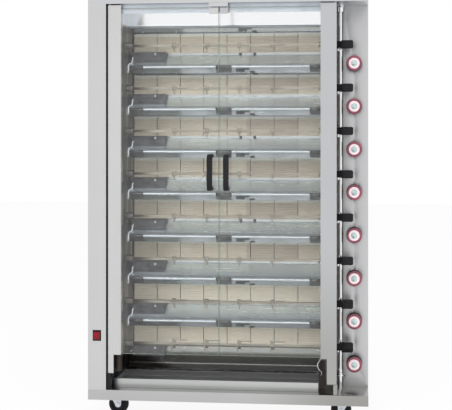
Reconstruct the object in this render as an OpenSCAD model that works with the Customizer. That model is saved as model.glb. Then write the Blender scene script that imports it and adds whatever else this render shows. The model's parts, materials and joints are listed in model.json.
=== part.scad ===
// Eight-spit gas chicken rotisserie, floor standing, on casters
// Millimetres. +X is right as seen from the front, -Y is the front, +Z is up.
// The origin is on the floor, under the middle of the cabinet.

/* [Cabinet] */
// Width across the outer side panels
cab_w = 1100; // [1090:1:1160]
// Depth from the front of the base to the back panel
cab_d = 480; // [460:1:600]
// Height of the underside of the base above the floor
foot_h = 72; // [70:1:80]
// Height of the base
base_h = 40; // [38:1:46]
// Height of the header
head_h = 140; // [100:1:220]
// Thickness of the outer sheets
sheet = 1.5; // [1:0.1:2]

/* [Left column] */
// Width of the left column
col_w = 72; // [70:1:80]
// Gap between the left column and the door stile
col_gap = 6; // [6:0.5:10]
// Width of the power switch opening
switch_w = 26; // [20:1:32]
// Height of the power switch opening
switch_h = 34; // [26:1:44]
// Height of the power switch above the base
switch_up = 214; // [150:1:700]

/* [Right bay] */
// Width of the control panel
panel_w = 100; // [96:1:110]
// How far the control panel is set back from the front
panel_back = 180; // [170:1:200]
// Diameter of the polished support rod
rod_d = 14; // [12:0.5:16]
// Distance from the rod to the control panel's left edge
rod_inset = 10; // [9:0.5:14]
// How far the rod stands back from the front
rod_back = 142; // [141:1:146]
// Gap between the right stile and the control panel
bay_gap = 22; // [20:0.5:26]

/* [Cavity] */
// Thickness of the liner sheets
liner_t = 1.5; // [1:0.1:2]
// Setback of the liner's front edge from the front
liner_back = 38; // [36:1:44]
// Setback of the ceramic tiles from the front
tile_back = 265; // [250:1:280]
// Depth of a burner housing behind the tile face
burner_d = 60; // [40:1:70]
// Height of the lip across the top of the cavity mouth
top_lip = 36; // [20:1:50]

/* [Rows] */
// Number of spits, burners and knobs
rows = 8; // [8:1:8]
// Height from one spit to the next
row_pitch = 171; // [168:0.5:172]
// Height of the lowest spit above the base
low_spit_up = 166; // [163:1:172]
// Setback of the spits from the front
spit_back = 115; // [110:1:118]
// Room between the top spit and the header
top_room = 159; // [152:1:170]
// Drop from a spit to its knob
knob_drop = 73; // [68:1:80]

/* [Burners] */
// Ceramic tiles in each burner
tiles = 8; // [4:1:10]
// Visible height of a tile
tile_h = 79; // [74:1:82]
// Thickness of a tile
tile_t = 13; // [10:1:16]
// Joint between two tiles
tile_gap = 3; // [1:0.5:5]
// Height of a tile's bottom edge, measured down from the spit
tile_drop = 20; // [18:1:23]
// Height of the flange under the tiles
flange_h = 11; // [9:0.5:14]
// Height of the slot over the tiles
rim_h = 8; // [6:0.5:10]
// Height of the brow over the slot
brow_h = 15; // [12:0.5:15]
// How far the drip deflector reaches forward
hood_reach = 110; // [90:1:115]
// Drop from a spit to the deflector's nose
nose_drop = 84; // [80:1:88]
// Length of a pilot guard
guard_w = 134; // [100:1:150]
// Depth of a pilot guard
guard_d = 76; // [60:1:84]
// Height of a pilot guard
guard_h = 46; // [40:1:48]

/* [Spits] */
// Side of the square spit bar
bar_s = 10; // [8:0.5:12]
// Diameter of the spit's round end
journal_d = 14; // [13:0.5:16]
// Forks on each spit
forks = 4; // [2:1:5]
// Length of a fork's prongs
prong_l = 62; // [40:1:80]
// Distance from the bar to a prong
prong_r = 20; // [16:0.5:26]
// Height of the square spit grip
grip_s = 32; // [28:1:34]
// Length of the spit grip
grip_l = 46; // [40:1:52]
// Pitch radius of the spit sprockets
sprocket_r = 32; // [28:0.5:36]
// Teeth on a spit sprocket
teeth = 16; // [12:1:24]

/* [Knobs] */
// Diameter of a knob
knob_d = 63; // [56:1:66]
// How far a knob stands out from its panel
knob_l = 44; // [34:1:50]
// Diameter of a gas tap's stem
stem_d = 8; // [6:0.5:10]

/* [Doors] */
// Glass thickness
glass_t = 6; // [5:0.5:8]
// Thickness of the door stiles
stile_t = 16; // [14:0.5:18]
// Width of the left door stile
stile_l_w = 52; // [48:1:56]
// Width of the right door stile
stile_r_w = 62; // [58:1:64]
// Width of the left stile below the glass
leg_l_w = 22; // [20:1:26]
// Width of the right stile below the glass
leg_r_w = 38; // [30:1:44]
// Height of the bottom of the glass above the base
glass_up = 141; // [130:1:150]
// Gap between the two doors
door_gap = 3; // [2:0.5:5]
// How far the meeting line lies left of the middle
door_shift = 30; // [20:1:40]
// Length of a door handle
handle_l = 143; // [120:1:170]
// Width of a door handle
handle_w = 22; // [18:1:28]
// How far a door handle stands out
handle_out = 60; // [50:1:66]
// Thickness of a door handle's bow
handle_t = 16; // [13:0.5:18]
// Height of the middle of the handles above the base
handle_up = 859; // [700:1:950]

/* [Drip tray] */
// Height of the tray's front
tray_h = 36; // [28:1:38]
// Depth of the tray, front to back
tray_d = 235; // [200:1:238]
// Sheet thickness of the tray
tray_t = 1.5; // [1:0.1:2]

/* [Casters] */
// Wheel diameter
wheel_d = 80; // [76:1:82]
// Wheel width
wheel_w = 28; // [24:1:30]
// Distance from a swivel to its wheel's axle
trail = 20; // [16:1:24]
// Distance from the cabinet's sides to the caster plates' middle
caster_in = 86; // [84:1:110]
// Distance from the front and back to the caster plates' middle
caster_deep = 90; // [80:1:110]

/* [Hidden] */
$fn = 48;
eps = 0.01;
fit = 0.05; // running clearance of a pin in its bore
seat = 0.3; // clearance of a loose part on its seat

left_x = -cab_w / 2;
right_x = cab_w / 2;
front_y = -cab_d / 2;
back_y = cab_d / 2;
base_z = foot_h + base_h;
caster_z = base_z - sheet - 3;
low_spit_z = base_z + low_spit_up;
switch_z = base_z + switch_up;
glass_z = base_z + glass_up;
handle_z = base_z + handle_up;
body_h = low_spit_up + (rows - 1) * row_pitch + top_room;
head_z = base_z + body_h;
top_z = head_z + head_h;

col_x = left_x + col_w;
stile_l_x = col_x + col_gap;
cav_x0 = stile_l_x + stile_l_w;
panel_x = right_x - panel_w;
stile_r_x = panel_x - bay_gap;
cav_x1 = stile_r_x - stile_r_w;
cavity_w = cav_x1 - cav_x0;
panel_y = front_y + panel_back;
rod_x = panel_x - rod_inset;
rod_y = front_y + rod_back;
liner_y = front_y + liner_back;
tile_y = front_y + tile_back;
wall_y = tile_y + burner_d + 12;
spit_y = front_y + spit_back;
door_y = front_y + 20;
meet_x = -door_shift;
pivot_in = 6;
pivot_l_x = stile_l_x + pivot_in;
pivot_r_x = stile_r_x - pivot_in;
stile_top = head_z - 4;
glass_top = head_z - 16;
leg_l_z = base_z + 64;
leg_r_z = base_z + 39;
pin_r = 4;
bush_r = 9;
bush_h = 10;
tray_x0 = cav_x0 - 38;
tray_x1 = cav_x1 - 10;
tray_y = front_y + 50;
tray_z = base_z + seat;
wall_z = base_z + 64;
burner_x0 = cav_x0 + 4;
burner_x1 = cav_x1 - 4;
socket_x = cav_x0 + 4;
socket_l = 26;
sprocket_x = cav_x0 - 30;
shaft_r = 6;
fork_in = 130; // room at each end of a spit that the forks keep clear of
neck_x = stile_r_x - 3;
neck_l = 20;
neck_r = 13.5;
knob_x = right_x - 55;
motor_z = low_spit_z - 2.8 * sprocket_r;
motor_r = col_w / 2 - 2;
idler_gap = 70;
idler_y = spit_y + idler_gap;
rail_r = 11;
tap_r = 12;
feed_r = 4;
inlet_r = 10.5;
rail_x = right_x - 26;
rail_y = panel_y + 62;
pipe_x = burner_x1 + 40;
feed_y = tile_y + 26;
liner_low = glass_z - 3;
inlet_z = base_z + 64;
inlet_out = handle_out + glass_t / 2 - 20;
caster_y = front_y + caster_deep;
king_r = 6;
axle_r = 5;
phase = [0, 0, 0, 0, 0, 0, 10, 45];

crest_z = low_spit_z + row_pitch * (rows - 1) + tile_h - tile_drop + rim_h + brow_h + 2;

function spit_z(k) = low_spit_z + row_pitch * (rows - k);
function knob_z(k) = spit_z(k) - knob_drop;
function fork_x(i) = cav_x0 + fork_in + (cavity_w - 2 * fork_in) * (i + 0.5) / forks;

module slab(x0, x1, y0, y1, z0, z1) {
    translate([x0, y0, z0]) cube([x1 - x0, y1 - y0, z1 - z0]);
}
module bar_x(x0, x1, r, y, z) {
    translate([x0, y, z]) rotate([0, 90, 0]) cylinder(r = r, h = x1 - x0);
}
module bar_y(y0, y1, r, x, z) {
    translate([x, y0, z]) rotate([-90, 0, 0]) cylinder(r = r, h = y1 - y0);
}
module bar_z(z0, z1, r, x, y) {
    translate([x, y, z0]) cylinder(r = r, h = z1 - z0);
}
// Carries a drawing in (y, z) along the width, from x0 to x1
module along_x(x0, x1) {
    translate([x0, 0, 0]) rotate([90, 0, 90]) linear_extrude(x1 - x0) children();
}
// A square with round corners, centred
module round_square(w, h, r) {
    square([w - 2 * r, h], center = true);
    square([w, h - 2 * r], center = true);
    for (sx = [-1, 1], sy = [-1, 1])
        translate([sx * (w / 2 - r), sy * (h / 2 - r)]) circle(r);
}
// A strip of sheet of thickness t from point a to point b, in a drawing
module strip(a, b, t) {
    d = b - a;
    len = norm(d);
    n = [-d[1], d[0]] / len * t;
    polygon([a, b, b + n, a + n]);
}

module base_frame() color("silver") {
    lip = 18;
    difference() {
        slab(left_x, right_x, front_y, back_y, foot_h, base_z);
        slab(left_x + sheet, right_x - sheet, front_y + sheet, back_y - sheet, foot_h + sheet, base_z - sheet);
        slab(left_x + lip, right_x - lip, front_y + lip, back_y - lip, foot_h - 1, foot_h + 2 * sheet);
    }
    // Channels across the pan, which the casters bolt to
    for (s = [-1, 1]) {
        mid = s * (cab_w / 2 - caster_in);
        slab(mid - 70, mid + 70, front_y + 2, back_y - 2, caster_z, base_z - sheet);
        for (e = [-70, 67]) slab(mid + e, mid + e + 3, front_y + lip, back_y - lip, caster_z - 12, caster_z);
    }
    for (sx = [-1, 1], sy = [-1, 1]) at_caster(sx, sy) caster_top(sy < 0);
    // Foot pin that the right door turns on
    bar_z(base_z - sheet, leg_r_z - 1, bush_r, pivot_r_x, door_y);
    bar_z(base_z, leg_r_z + bush_h, pin_r, pivot_r_x, door_y);
}
// Plate, race and king pin of a caster, hanging from the point it is placed at
module caster_top(swivels) {
    plate_w = 90;
    plate_d = 74;
    difference() {
        translate([-plate_w / 2, -plate_d / 2, -4]) cube([plate_w, plate_d, 4]);
        for (sx = [-1, 1], sy = [-1, 1])
            translate([sx * 36, sy * 28, -5]) cylinder(r = 4.5, h = 6);
    }
    if (swivels) {
        translate([0, 0, -12]) cylinder(r = 24, h = 8);
        translate([0, 0, -22]) cylinder(r = king_r, h = 10);
        translate([0, 0, -23]) cylinder(r = 9, h = 4.5);
    }
}
module caster_fork() {
    leg_top = -17;
    axle_z = wheel_d / 2 - caster_z;
    half = wheel_w / 2 + 3;
    difference() {
        union() {
            translate([-32, -half - 3, leg_top]) cube([64 + trail / 2, 2 * half + 6, 4]);
            for (s = [-1, 1])
                translate([0, s * (half + 1.5) + 1.5, 0]) rotate([90, 0, 0]) linear_extrude(3) difference() {
                    union() {
                        polygon([[-24, leg_top + 2], [36, leg_top + 2], [trail + 12, axle_z], [trail - 12, axle_z]]);
                        translate([trail, axle_z]) circle(12);
                    }
                    translate([trail, axle_z]) circle(axle_r + fit);
                }
        }
        translate([0, 0, leg_top - 1]) cylinder(r = king_r + fit, h = 6);
        translate([0, 0, leg_top - 7]) cylinder(r = 9 + fit, h = 7.8);
    }
    translate([trail, half + 4, axle_z]) rotate([90, 0, 0]) cylinder(r = axle_r, h = 2 * half + 8);
    for (s = [-1, 1])
        translate([trail, s * (half + 5.5) + 2.5, axle_z]) rotate([90, 0, 0]) cylinder(r = 9, h = 5, $fn = 6);
}
module caster_wheel() {
    r = wheel_d / 2;
    w = wheel_w / 2;
    rotate([90, 0, 0]) rotate_extrude() polygon(concat(
        [[axle_r + fit, -w - 2], [12, -w - 2], [12, -w + 4], [r - 14, -w + 5], [r - 11, -w]],
        [for (a = [-60:20:60]) [r - 5 + 5 * cos(a), (w - 4) * sin(a) / sin(60)]],
        [[r - 11, w], [r - 14, w - 5], [12, w - 4], [12, w + 2], [axle_r + fit, w + 2]]));
}
module at_caster(sx, sy) {
    translate([sx * (cab_w / 2 - caster_in), sy * (cab_d / 2 - caster_deep), caster_z])
        mirror([sx > 0 ? 1 : 0, 0, 0]) children();
}
module front_fork(sx) color("gainsboro") at_caster(sx, -1) caster_fork();
module front_wheel(sx) color("dimgray")
    at_caster(sx, -1) translate([trail, 0, wheel_d / 2 - caster_z]) caster_wheel();
module rear_caster_forks() color("gainsboro")
    for (sx = [-1, 1]) at_caster(sx, 1) {
        half = wheel_w / 2 + 3;
        axle_z = wheel_d / 2 - caster_z;
        translate([-half - 3, -30, -7]) cube([2 * half + 6, 60, 3]);
        for (s = [-1, 1])
            translate([s * (half + 1.5) - 1.5, 0, 0]) rotate([90, 0, 90]) linear_extrude(3) union() {
                polygon([[-30, -5], [30, -5], [12, axle_z], [-12, axle_z]]);
                translate([0, axle_z]) circle(12);
            }
        translate([-half - 4, 0, axle_z]) rotate([0, 90, 0]) cylinder(r = axle_r, h = 2 * half + 8);
    }
module rear_wheel(sx) color("dimgray")
    at_caster(sx, 1) translate([0, 0, wheel_d / 2 - caster_z]) rotate([0, 0, 90]) caster_wheel();

module header() color("gainsboro") {
    flue_w = 640;
    slot_n = 16;
    difference() {
        slab(left_x, right_x, front_y, back_y, head_z, top_z);
        slab(left_x + sheet, right_x - sheet, front_y + sheet, back_y - sheet, head_z + sheet, top_z - sheet);
        // The cavity breathes into the header, and the header through slots in its top
        slab(cav_x0 + 60, cav_x1 - 60, wall_y - 60, wall_y - 10, head_z - 1, head_z + sheet + 1);
        for (i = [0:slot_n - 1])
            slab(-flue_w / 2 + i * flue_w / slot_n, -flue_w / 2 + i * flue_w / slot_n + 22,
                back_y - 150, back_y - 40, top_z - sheet - 1, top_z + 1);
        for (x = [pivot_l_x, pivot_r_x]) bar_z(head_z - 1, head_z + sheet + 1, pin_r + fit, x, door_y);
    }
    // Bushes that the doors' upper pins turn in
    for (x = [pivot_l_x, pivot_r_x]) difference() {
        bar_z(head_z + sheet - eps, head_z + bush_h + 2, bush_r, x, door_y);
        bar_z(head_z, head_z + bush_h + 1, pin_r + fit, x, door_y);
    }
    // Catch that holds both doors' strike plates
    slab(meet_x - 40, meet_x + 36, front_y + 3, door_y - glass_t / 2 - 3.5 - seat, head_z - 15, head_z);
}

module left_column() color("silver") {
    flange = liner_y - front_y - liner_t;
    difference() {
        translate([0, 0, base_z]) linear_extrude(body_h) polygon([
            [left_x, front_y], [col_x, front_y], [col_x, front_y + flange],
            [col_x - sheet, front_y + flange], [col_x - sheet, front_y + sheet],
            [left_x + sheet, front_y + sheet], [left_x + sheet, front_y + 20], [left_x, front_y + 20]]);
        translate([left_x + col_w / 2, front_y, switch_z])
            cube([switch_w, 4 * sheet, switch_h], center = true);
    }
    // Body of the power switch behind its opening, with the rocker's pivot pin
    translate([left_x + col_w / 2, front_y + sheet, switch_z]) difference() {
        slab(-switch_w / 2 - 2, switch_w / 2 + 2, 0, 22, -switch_h / 2 - 2, switch_h / 2 + 2);
        slab(-switch_w / 2, switch_w / 2, -1, 20, -switch_h / 2, switch_h / 2);
    }
    bar_x(left_x + (col_w - switch_w) / 2 - 1, left_x + (col_w + switch_w) / 2 + 1,
        2 - fit, front_y + 6, switch_z);
    // Block with the pin that the left door turns on
    slab(col_x + 1, tray_x0 - 2, door_y - 10, door_y + 10, base_z, leg_l_z - seat);
    bar_z(base_z + 6, leg_l_z + bush_h, pin_r, pivot_l_x, door_y);
}

module outer_panels() color("silver") {
    vent_w = (cab_w - 60) / 4;
    vent_step = body_h / 26;
    slab(left_x, left_x + sheet, front_y + 20, back_y - sheet, base_z, head_z);
    slab(right_x - sheet, right_x, panel_y + sheet, back_y - sheet, base_z, head_z);
    difference() {
        slab(left_x, right_x, back_y - sheet, back_y, base_z, head_z);
        for (c = [-1, 1], i = [0:11])
            slab((c * 1.1 - 0.5) * vent_w, (c * 1.1 + 0.5) * vent_w, back_y - 3, back_y + 1,
                base_z + body_h / 4 + i * vent_step, base_z + body_h / 4 + i * vent_step + 8);
        bar_y(back_y - 3, back_y + 1, 13, rail_x, inlet_z);
    }
}

module control_panel() color("silver") difference() {
    translate([0, 0, base_z]) linear_extrude(body_h) polygon([
        [panel_x, panel_y], [right_x, panel_y], [right_x, panel_y + sheet], [panel_x + sheet, panel_y + sheet],
        [panel_x + sheet, panel_y + 40], [panel_x, panel_y + 40]]);
    for (k = [1:rows]) bar_y(panel_y - 1, panel_y + sheet + 1, stem_d / 2 + 2, knob_x, knob_z(k));
}

module cavity_liner() color("darkgray") {
    // Left wall with its closing flange and the holes of the drive shafts
    difference() {
        union() {
            slab(cav_x0 - liner_t, cav_x0, liner_y, wall_y, wall_z, head_z);
            slab(col_x, cav_x0, liner_y - liner_t, liner_y, liner_low, head_z);
            slab(col_x, cav_x0, liner_y + 20, liner_y + 20 + liner_t, wall_z, liner_low + 20);
        }
        for (k = [1:rows]) bar_x(cav_x0 - 5, cav_x0 + 1, shaft_r + 6, spit_y, spit_z(k));
    }
    // Right wall, slotted so that the spits lift out forwards
    difference() {
        slab(cav_x1, cav_x1 + liner_t, liner_y, wall_y, wall_z, head_z);
        for (k = [1:rows]) {
            bar_x(cav_x1 - 1, cav_x1 + liner_t + 1, journal_d / 2 + 2, spit_y, spit_z(k));
            slab(cav_x1 - 1, cav_x1 + liner_t + 1, liner_y - 1, spit_y,
                spit_z(k) - journal_d / 2 - 2, spit_z(k) + journal_d / 2 + 2);
            bar_x(cav_x1 - 1, cav_x1 + liner_t + 1, feed_r + 1, feed_y, spit_z(k) - tile_drop);
        }
    }
    slab(cav_x0 - liner_t, cav_x1 + liner_t, wall_y, wall_y + liner_t, base_z, head_z);
    slab(cav_x0, cav_x1 + liner_t, liner_y - liner_t, liner_y, head_z - top_lip, head_z);
    // Bright reflector over the top burner
    slab(cav_x0, cav_x1, tile_y, tile_y + liner_t, crest_z, head_z);
    slab(cav_x0, cav_x1, tile_y, wall_y, crest_z, crest_z + liner_t);
    // Folded bracket beside the tray's right end, on its foot
    slab(cav_x1 - 8, cav_x1 + 14, front_y + 52, front_y + 54, base_z + 12, liner_low);
    slab(cav_x1 + 12, cav_x1 + 14, front_y + 52, front_y + 84, base_z + 12, liner_low);
    slab(cav_x1 - 6, cav_x1 + 14, front_y + 44, front_y + 64, base_z, base_z + 12);
    slab(cav_x1, cav_x1 + 14, front_y + 80, front_y + 84, liner_low - 30, liner_low);
    // Flanged bearings of the drive shafts, on the dry side of the left wall
    for (k = [1:rows]) difference() {
        union() {
            bar_x(cav_x0 - liner_t - 3, cav_x0 - liner_t, 20, spit_y, spit_z(k));
            bar_x(cav_x0 - liner_t - 12, cav_x0 - liner_t - 3, 12, spit_y, spit_z(k));
        }
        bar_x(cav_x0 - 20, cav_x0, shaft_r + fit, spit_y, spit_z(k));
    }
}

// One burner box with the drip deflector under it, drawn in (y, z) about the spit's height
module burner_section() {
    lip_y = -2;
    low = -tile_drop - flange_h;
    top = tile_h - tile_drop;
    high = top + rim_h;
    difference() {
        translate([lip_y, low]) square([burner_d - lip_y, high - low]);
        translate([lip_y - 1, -tile_drop]) square([tile_t - lip_y + 1, tile_h]);
        translate([tile_t - eps, -tile_drop + 4]) square([burner_d - tile_t - sheet, tile_h - 8]);
        translate([lip_y + sheet, low + sheet])
            square([burner_d - lip_y - 2 * sheet, flange_h - 2 * sheet]);
        translate([lip_y - 1, top + sheet]) square([burner_d - lip_y + 1 - sheet, rim_h - 2 * sheet]);
    }
    // Brow that keeps drips off the tiles
    difference() {
        translate([lip_y - 8, high]) square([24, brow_h]);
        translate([lip_y - 8 + sheet, high + sheet]) square([24, brow_h - 2 * sheet]);
    }
    nose = [lip_y - hood_reach, -nose_drop];
    strip([lip_y, low], nose + [0, 4], -2);
    translate(nose) circle(5);
    strip(nose + [1, -5], nose + [14, -24], 2);
}
module burner_housings() color("lightgray")
    for (k = [1:rows]) translate([0, tile_y, spit_z(k)]) along_x(burner_x0, burner_x1) burner_section();

module ceramic_tiles() color("antiquewhite") {
    pitch = (burner_x1 - burner_x0) / tiles;
    for (k = [1:rows], i = [0:tiles - 1])
        translate([burner_x0 + i * pitch + tile_gap / 2, tile_y, spit_z(k) - tile_drop + 0.2])
            cube([pitch - tile_gap, tile_t - 0.2, tile_h - 0.4]);
}

// Folded shield over the pilot and its electrode, at each burner's left end
module pilot_guards() color("dimgray") {
    fall = (nose_drop - 4 - tile_drop - flange_h) / hood_reach;
    seat_z = -flange_h + 2 * norm([1, fall]) + fit;
    for (k = [1:rows]) translate([burner_x0 + 8, tile_y - 2, spit_z(k) - tile_drop]) {
        difference() {
            slab(0, guard_w, -guard_d, 0, -guard_h, 0);
            slab(sheet, guard_w - sheet, -guard_d + sheet, 1, -guard_h - 1, -sheet);
            // Cut along the slope of the deflector that it stands on
            along_x(-1, guard_w + 1) polygon([[-guard_d - 2, seat_z - fall * (guard_d + 2)],
                [2, seat_z + fall * 2], [2, -guard_h - 2], [-guard_d - 2, -guard_h - 2]]);
        }
        bar_z(-12, -1, 6, guard_w / 2 + 3, -24);
        bar_z(seat_z - 22 * fall, -12, 1.5, guard_w / 2 + 3, -24);
        bar_y(-guard_d - 3.5, -guard_d, 4.5, guard_w - 38, -9, $fn = 6);
    }
}

module support_rod() color("whitesmoke") {
    bar_z(base_z, head_z, rod_d / 2, rod_x, rod_y);
    // Cradles that the spits' round ends lie in
    for (k = [1:rows]) translate([0, spit_y, spit_z(k)]) {
        cradle_x = stile_r_x - 30;
        slab(cradle_x, rod_x, rod_y - spit_y - 3, rod_y - spit_y + 3, -24, -8);
        difference() {
            slab(cradle_x, cradle_x + 6, -14, rod_y - spit_y + 3, -24, 6);
            bar_x(cradle_x - 1, cradle_x + 7, journal_d / 2 + seat, 0, 0);
            slab(cradle_x - 1, cradle_x + 7, -journal_d / 2 - seat, journal_d / 2 + seat, 0, 7);
        }
    }
}

module gas_rail() color("goldenrod") {
    bar_z(inlet_z, knob_z(1) + 30, rail_r, rail_x, rail_y);
    difference() {
        union() {
            bar_y(rail_y, back_y + 4, inlet_r - 1, rail_x, inlet_z);
            bar_y(back_y + 3, back_y + inlet_out, inlet_r, rail_x, inlet_z);
        }
        bar_y(back_y + inlet_out - 36, back_y + inlet_out + 1, inlet_r - 2.5, rail_x, inlet_z);
    }
    bar_y(back_y - sheet - 8, back_y - sheet - 2, 18, rail_x, inlet_z, $fn = 6);
    for (k = [1:rows]) {
        z = knob_z(k);
        bar_y(panel_y + sheet + seat, rail_y + 10, tap_r, knob_x, z);
        bar_y(panel_y - 26, panel_y + sheet + 1, stem_d / 2, knob_x, z);
        bar_x(knob_x, rail_x, 7, rail_y, z);
        // Pipe from the tap to the burner's right end, through the liner's wall
        feed_z = spit_z(k) - tile_drop;
        bar_x(pipe_x - feed_r, knob_x, feed_r, rail_y, z);
        bar_z(z, feed_z, feed_r, pipe_x, rail_y);
        bar_y(rail_y, feed_y, feed_r, pipe_x, feed_z);
        bar_x(burner_x1, pipe_x, feed_r, feed_y, feed_z);
        bar_x(cav_x1 + liner_t + 4, cav_x1 + liner_t + 12, 2 * feed_r, feed_y, feed_z, $fn = 6);
    }
}

// A sprocket drawn about its centre: round roots between straight-flanked teeth
module sprocket(r, n) {
    tooth = 360 / n;
    polygon([for (i = [0:n - 1], q = [[-0.30, -2.6], [-0.12, 1.8], [0.12, 1.8], [0.30, -2.6]])
        (r + q[1]) * [cos((i + q[0]) * tooth), sin((i + q[0]) * tooth)]]);
}
module drive_socket(k) color("silver") translate([0, spit_y, spit_z(k)]) rotate([phase[k - 1], 0, 0]) {
    difference() {
        union() {
            bar_x(socket_x - 3, socket_x + socket_l, 14, 0, 0);
            bar_x(sprocket_x - 6, socket_x, shaft_r, 0, 0);
        }
        slab(socket_x + 3, socket_x + socket_l + 1, -bar_s / 2 - 0.2, bar_s / 2 + 0.2,
            -bar_s / 2 - 0.2, bar_s / 2 + 0.2);
    }
    translate([sprocket_x, 0, 0]) rotate([90, 0, 90]) linear_extrude(5) sprocket(sprocket_r, teeth);
    bar_x(sprocket_x - 4, sprocket_x + 9, 2 * shaft_r, 0, 0);
}

module spit(k) color("gainsboro") translate([0, spit_y, spit_z(k)]) rotate([phase[k - 1], 0, 0]) {
    journal_x = cav_x1 - 12;
    slab(socket_x + 5, journal_x, -bar_s / 2, bar_s / 2, -bar_s / 2, bar_s / 2);
    bar_x(journal_x, neck_x + neck_l + 18, journal_d / 2, 0, 0);
    bar_x(journal_x, journal_x + 4, journal_d / 2 + 5, 0, 0);
    for (i = [0:forks - 1]) translate([fork_x(i), 0, 0]) rotate([90, 0, 0]) fork();
}
// A fork: a clamped hub, a cross strap and two pointed prongs
module fork() {
    hub = bar_s / 2 + 5;
    difference() {
        union() {
            slab(-8, 8, -hub, hub, -hub, hub);
            slab(-8, -4, -6, 6, -prong_r - 4, prong_r + 4);
        }
        slab(-9, 9, -bar_s / 2 - 0.1, bar_s / 2 + 0.1, -bar_s / 2 - 0.1, bar_s / 2 + 0.1);
    }
    for (s = [-1, 1]) {
        bar_x(-8, prong_l - 18, 2.25, 0, s * prong_r);
        translate([prong_l - 18, 0, s * prong_r]) rotate([0, 90, 0]) cylinder(r1 = 2.25, r2 = 0.4, h = 10);
    }
    bar_y(-hub - 7, -hub, 3, 1, 0);
    slab(-1, 3, -hub - 15, -hub - 6, -7, 7);
}

module grip(k) color("black") translate([neck_x, spit_y, spit_z(k)]) rotate([phase[k - 1], 0, 0]) difference() {
    union() {
        bar_x(0, neck_l, neck_r, 0, 0);
        translate([neck_l, 0, 0]) rotate([90, 0, 90]) linear_extrude(grip_l - 3) round_square(grip_s, grip_s, 5);
        translate([neck_l + grip_l - 3, 0, 0]) rotate([90, 0, 90])
            linear_extrude(3) round_square(grip_s - 5, grip_s - 5, 5);
    }
    bar_x(-1, neck_l + 18.2, journal_d / 2 + 0.1, 0, 0);
}

// A gas knob: turned skirt and body with a raised finger bar and a blind bore for the stem
module knob(k) color("firebrick") translate([knob_x, panel_y, knob_z(k)]) rotate([90, 0, 0]) {
    r = knob_d / 2;
    difference() {
        union() {
            rotate_extrude() difference() {
                polygon([[0, 1], [r, 1], [r, 5], [r - 1.5, 7], [r - 3, 8], [r - 3.5, knob_l - 6],
                    [r - 5, knob_l - 3.5], [r - 8, knob_l - 3], [r - 9, knob_l - 4.5], [0, knob_l - 4.5]]);
                translate([0, 0]) square([r - 7, 7]);
            }
            translate([0, 0, knob_l - 5]) linear_extrude(5) round_square(10, 2 * r - 20, 4.5);
            cylinder(r = stem_d / 2 + 4, h = knob_l - 6);
        }
        translate([0, 0, -1]) cylinder(r = stem_d / 2 + fit, h = 28);
    }
}

module gear_motor() color("slategray") {
    z = motor_z;
    slab(left_x + 8, sprocket_x - 18, spit_y - motor_r, spit_y + motor_r + 10, z - motor_r - 6, z + motor_r + 6);
    bar_x(sprocket_x - 20, sprocket_x + 10, shaft_r, spit_y, z);
    translate([sprocket_x, spit_y, z]) rotate([90, 0, 90]) linear_extrude(5) sprocket(sprocket_r, teeth);
    bar_y(spit_y + motor_r + 10, spit_y + 4 * motor_r, motor_r, left_x + motor_r + 12, z);
    bar_y(spit_y + 4 * motor_r, spit_y + 4 * motor_r + 8, motor_r - 6, left_x + motor_r + 12, z);
    // Bracket up from the base
    slab(left_x + 8, sprocket_x - 20, spit_y - 20, spit_y + 3 * motor_r, base_z, z - motor_r - 6);
    // Idlers that keep the chain's back run clear of the spit sprockets
    for (iz = [z, spit_z(1)]) {
        translate([sprocket_x, idler_y, iz]) rotate([90, 0, 90]) linear_extrude(5) sprocket(sprocket_r, teeth);
        bar_x(sprocket_x - 6, cav_x0 - liner_t, shaft_r, idler_y, iz);
    }
}

// The chain's closed run: round the motor sprocket, up past every spit, and back down
module drive_chain() color("dimgray") {
    inner = sprocket_r + 2.2;
    outer = inner + 6;
    span = idler_y - spit_y;
    rise = spit_z(1) - motor_z;
    translate([0, spit_y + span / 2, motor_z + rise / 2]) along_x(sprocket_x - 1.5, sprocket_x + 6.5)
        difference() {
            round_square(span + 2 * outer, rise + 2 * outer, outer);
            round_square(span + 2 * inner, rise + 2 * inner, inner);
        }
}

module drip_tray() color("lightgray") {
    wall = 26;
    difference() {
        slab(tray_x0, tray_x1, tray_y, tray_y + tray_d, tray_z, tray_z + wall);
        slab(tray_x0 + tray_t, tray_x1 - tray_t, tray_y + tray_t, tray_y + tray_d - tray_t,
            tray_z + tray_t, tray_z + wall + 1);
    }
    // Raised front with a rolled-back finger lip, and a stiffening lip at the back
    slab(tray_x0, tray_x1, tray_y, tray_y + tray_t, tray_z, tray_z + tray_h);
    slab(tray_x0, tray_x1, tray_y, tray_y + 12, tray_z + tray_h - tray_t, tray_z + tray_h);
    slab(tray_x0, tray_x1, tray_y + tray_d - 14, tray_y + tray_d, tray_z + wall, tray_z + wall + tray_t);
}

module rocker_switch() color("firebrick") translate([left_x + col_w / 2, front_y, switch_z]) {
    w = switch_w - 2;
    h = switch_h / 2 - 2.5;
    translate([-w / 2, 0, 0]) rotate([90, 0, 90]) linear_extrude(w) difference() {
        polygon([[12, -8], [12, 8], [0, h], [-5, h], [-1.2, 0], [-2.5, -h], [2.5, -h]]);
        translate([6, 0]) circle(2);
    }
}

module door_glass(x0, x1) color("lightcyan")
    slab(x0, x1, door_y - glass_t / 2, door_y + glass_t / 2, glass_z, glass_top);

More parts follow.
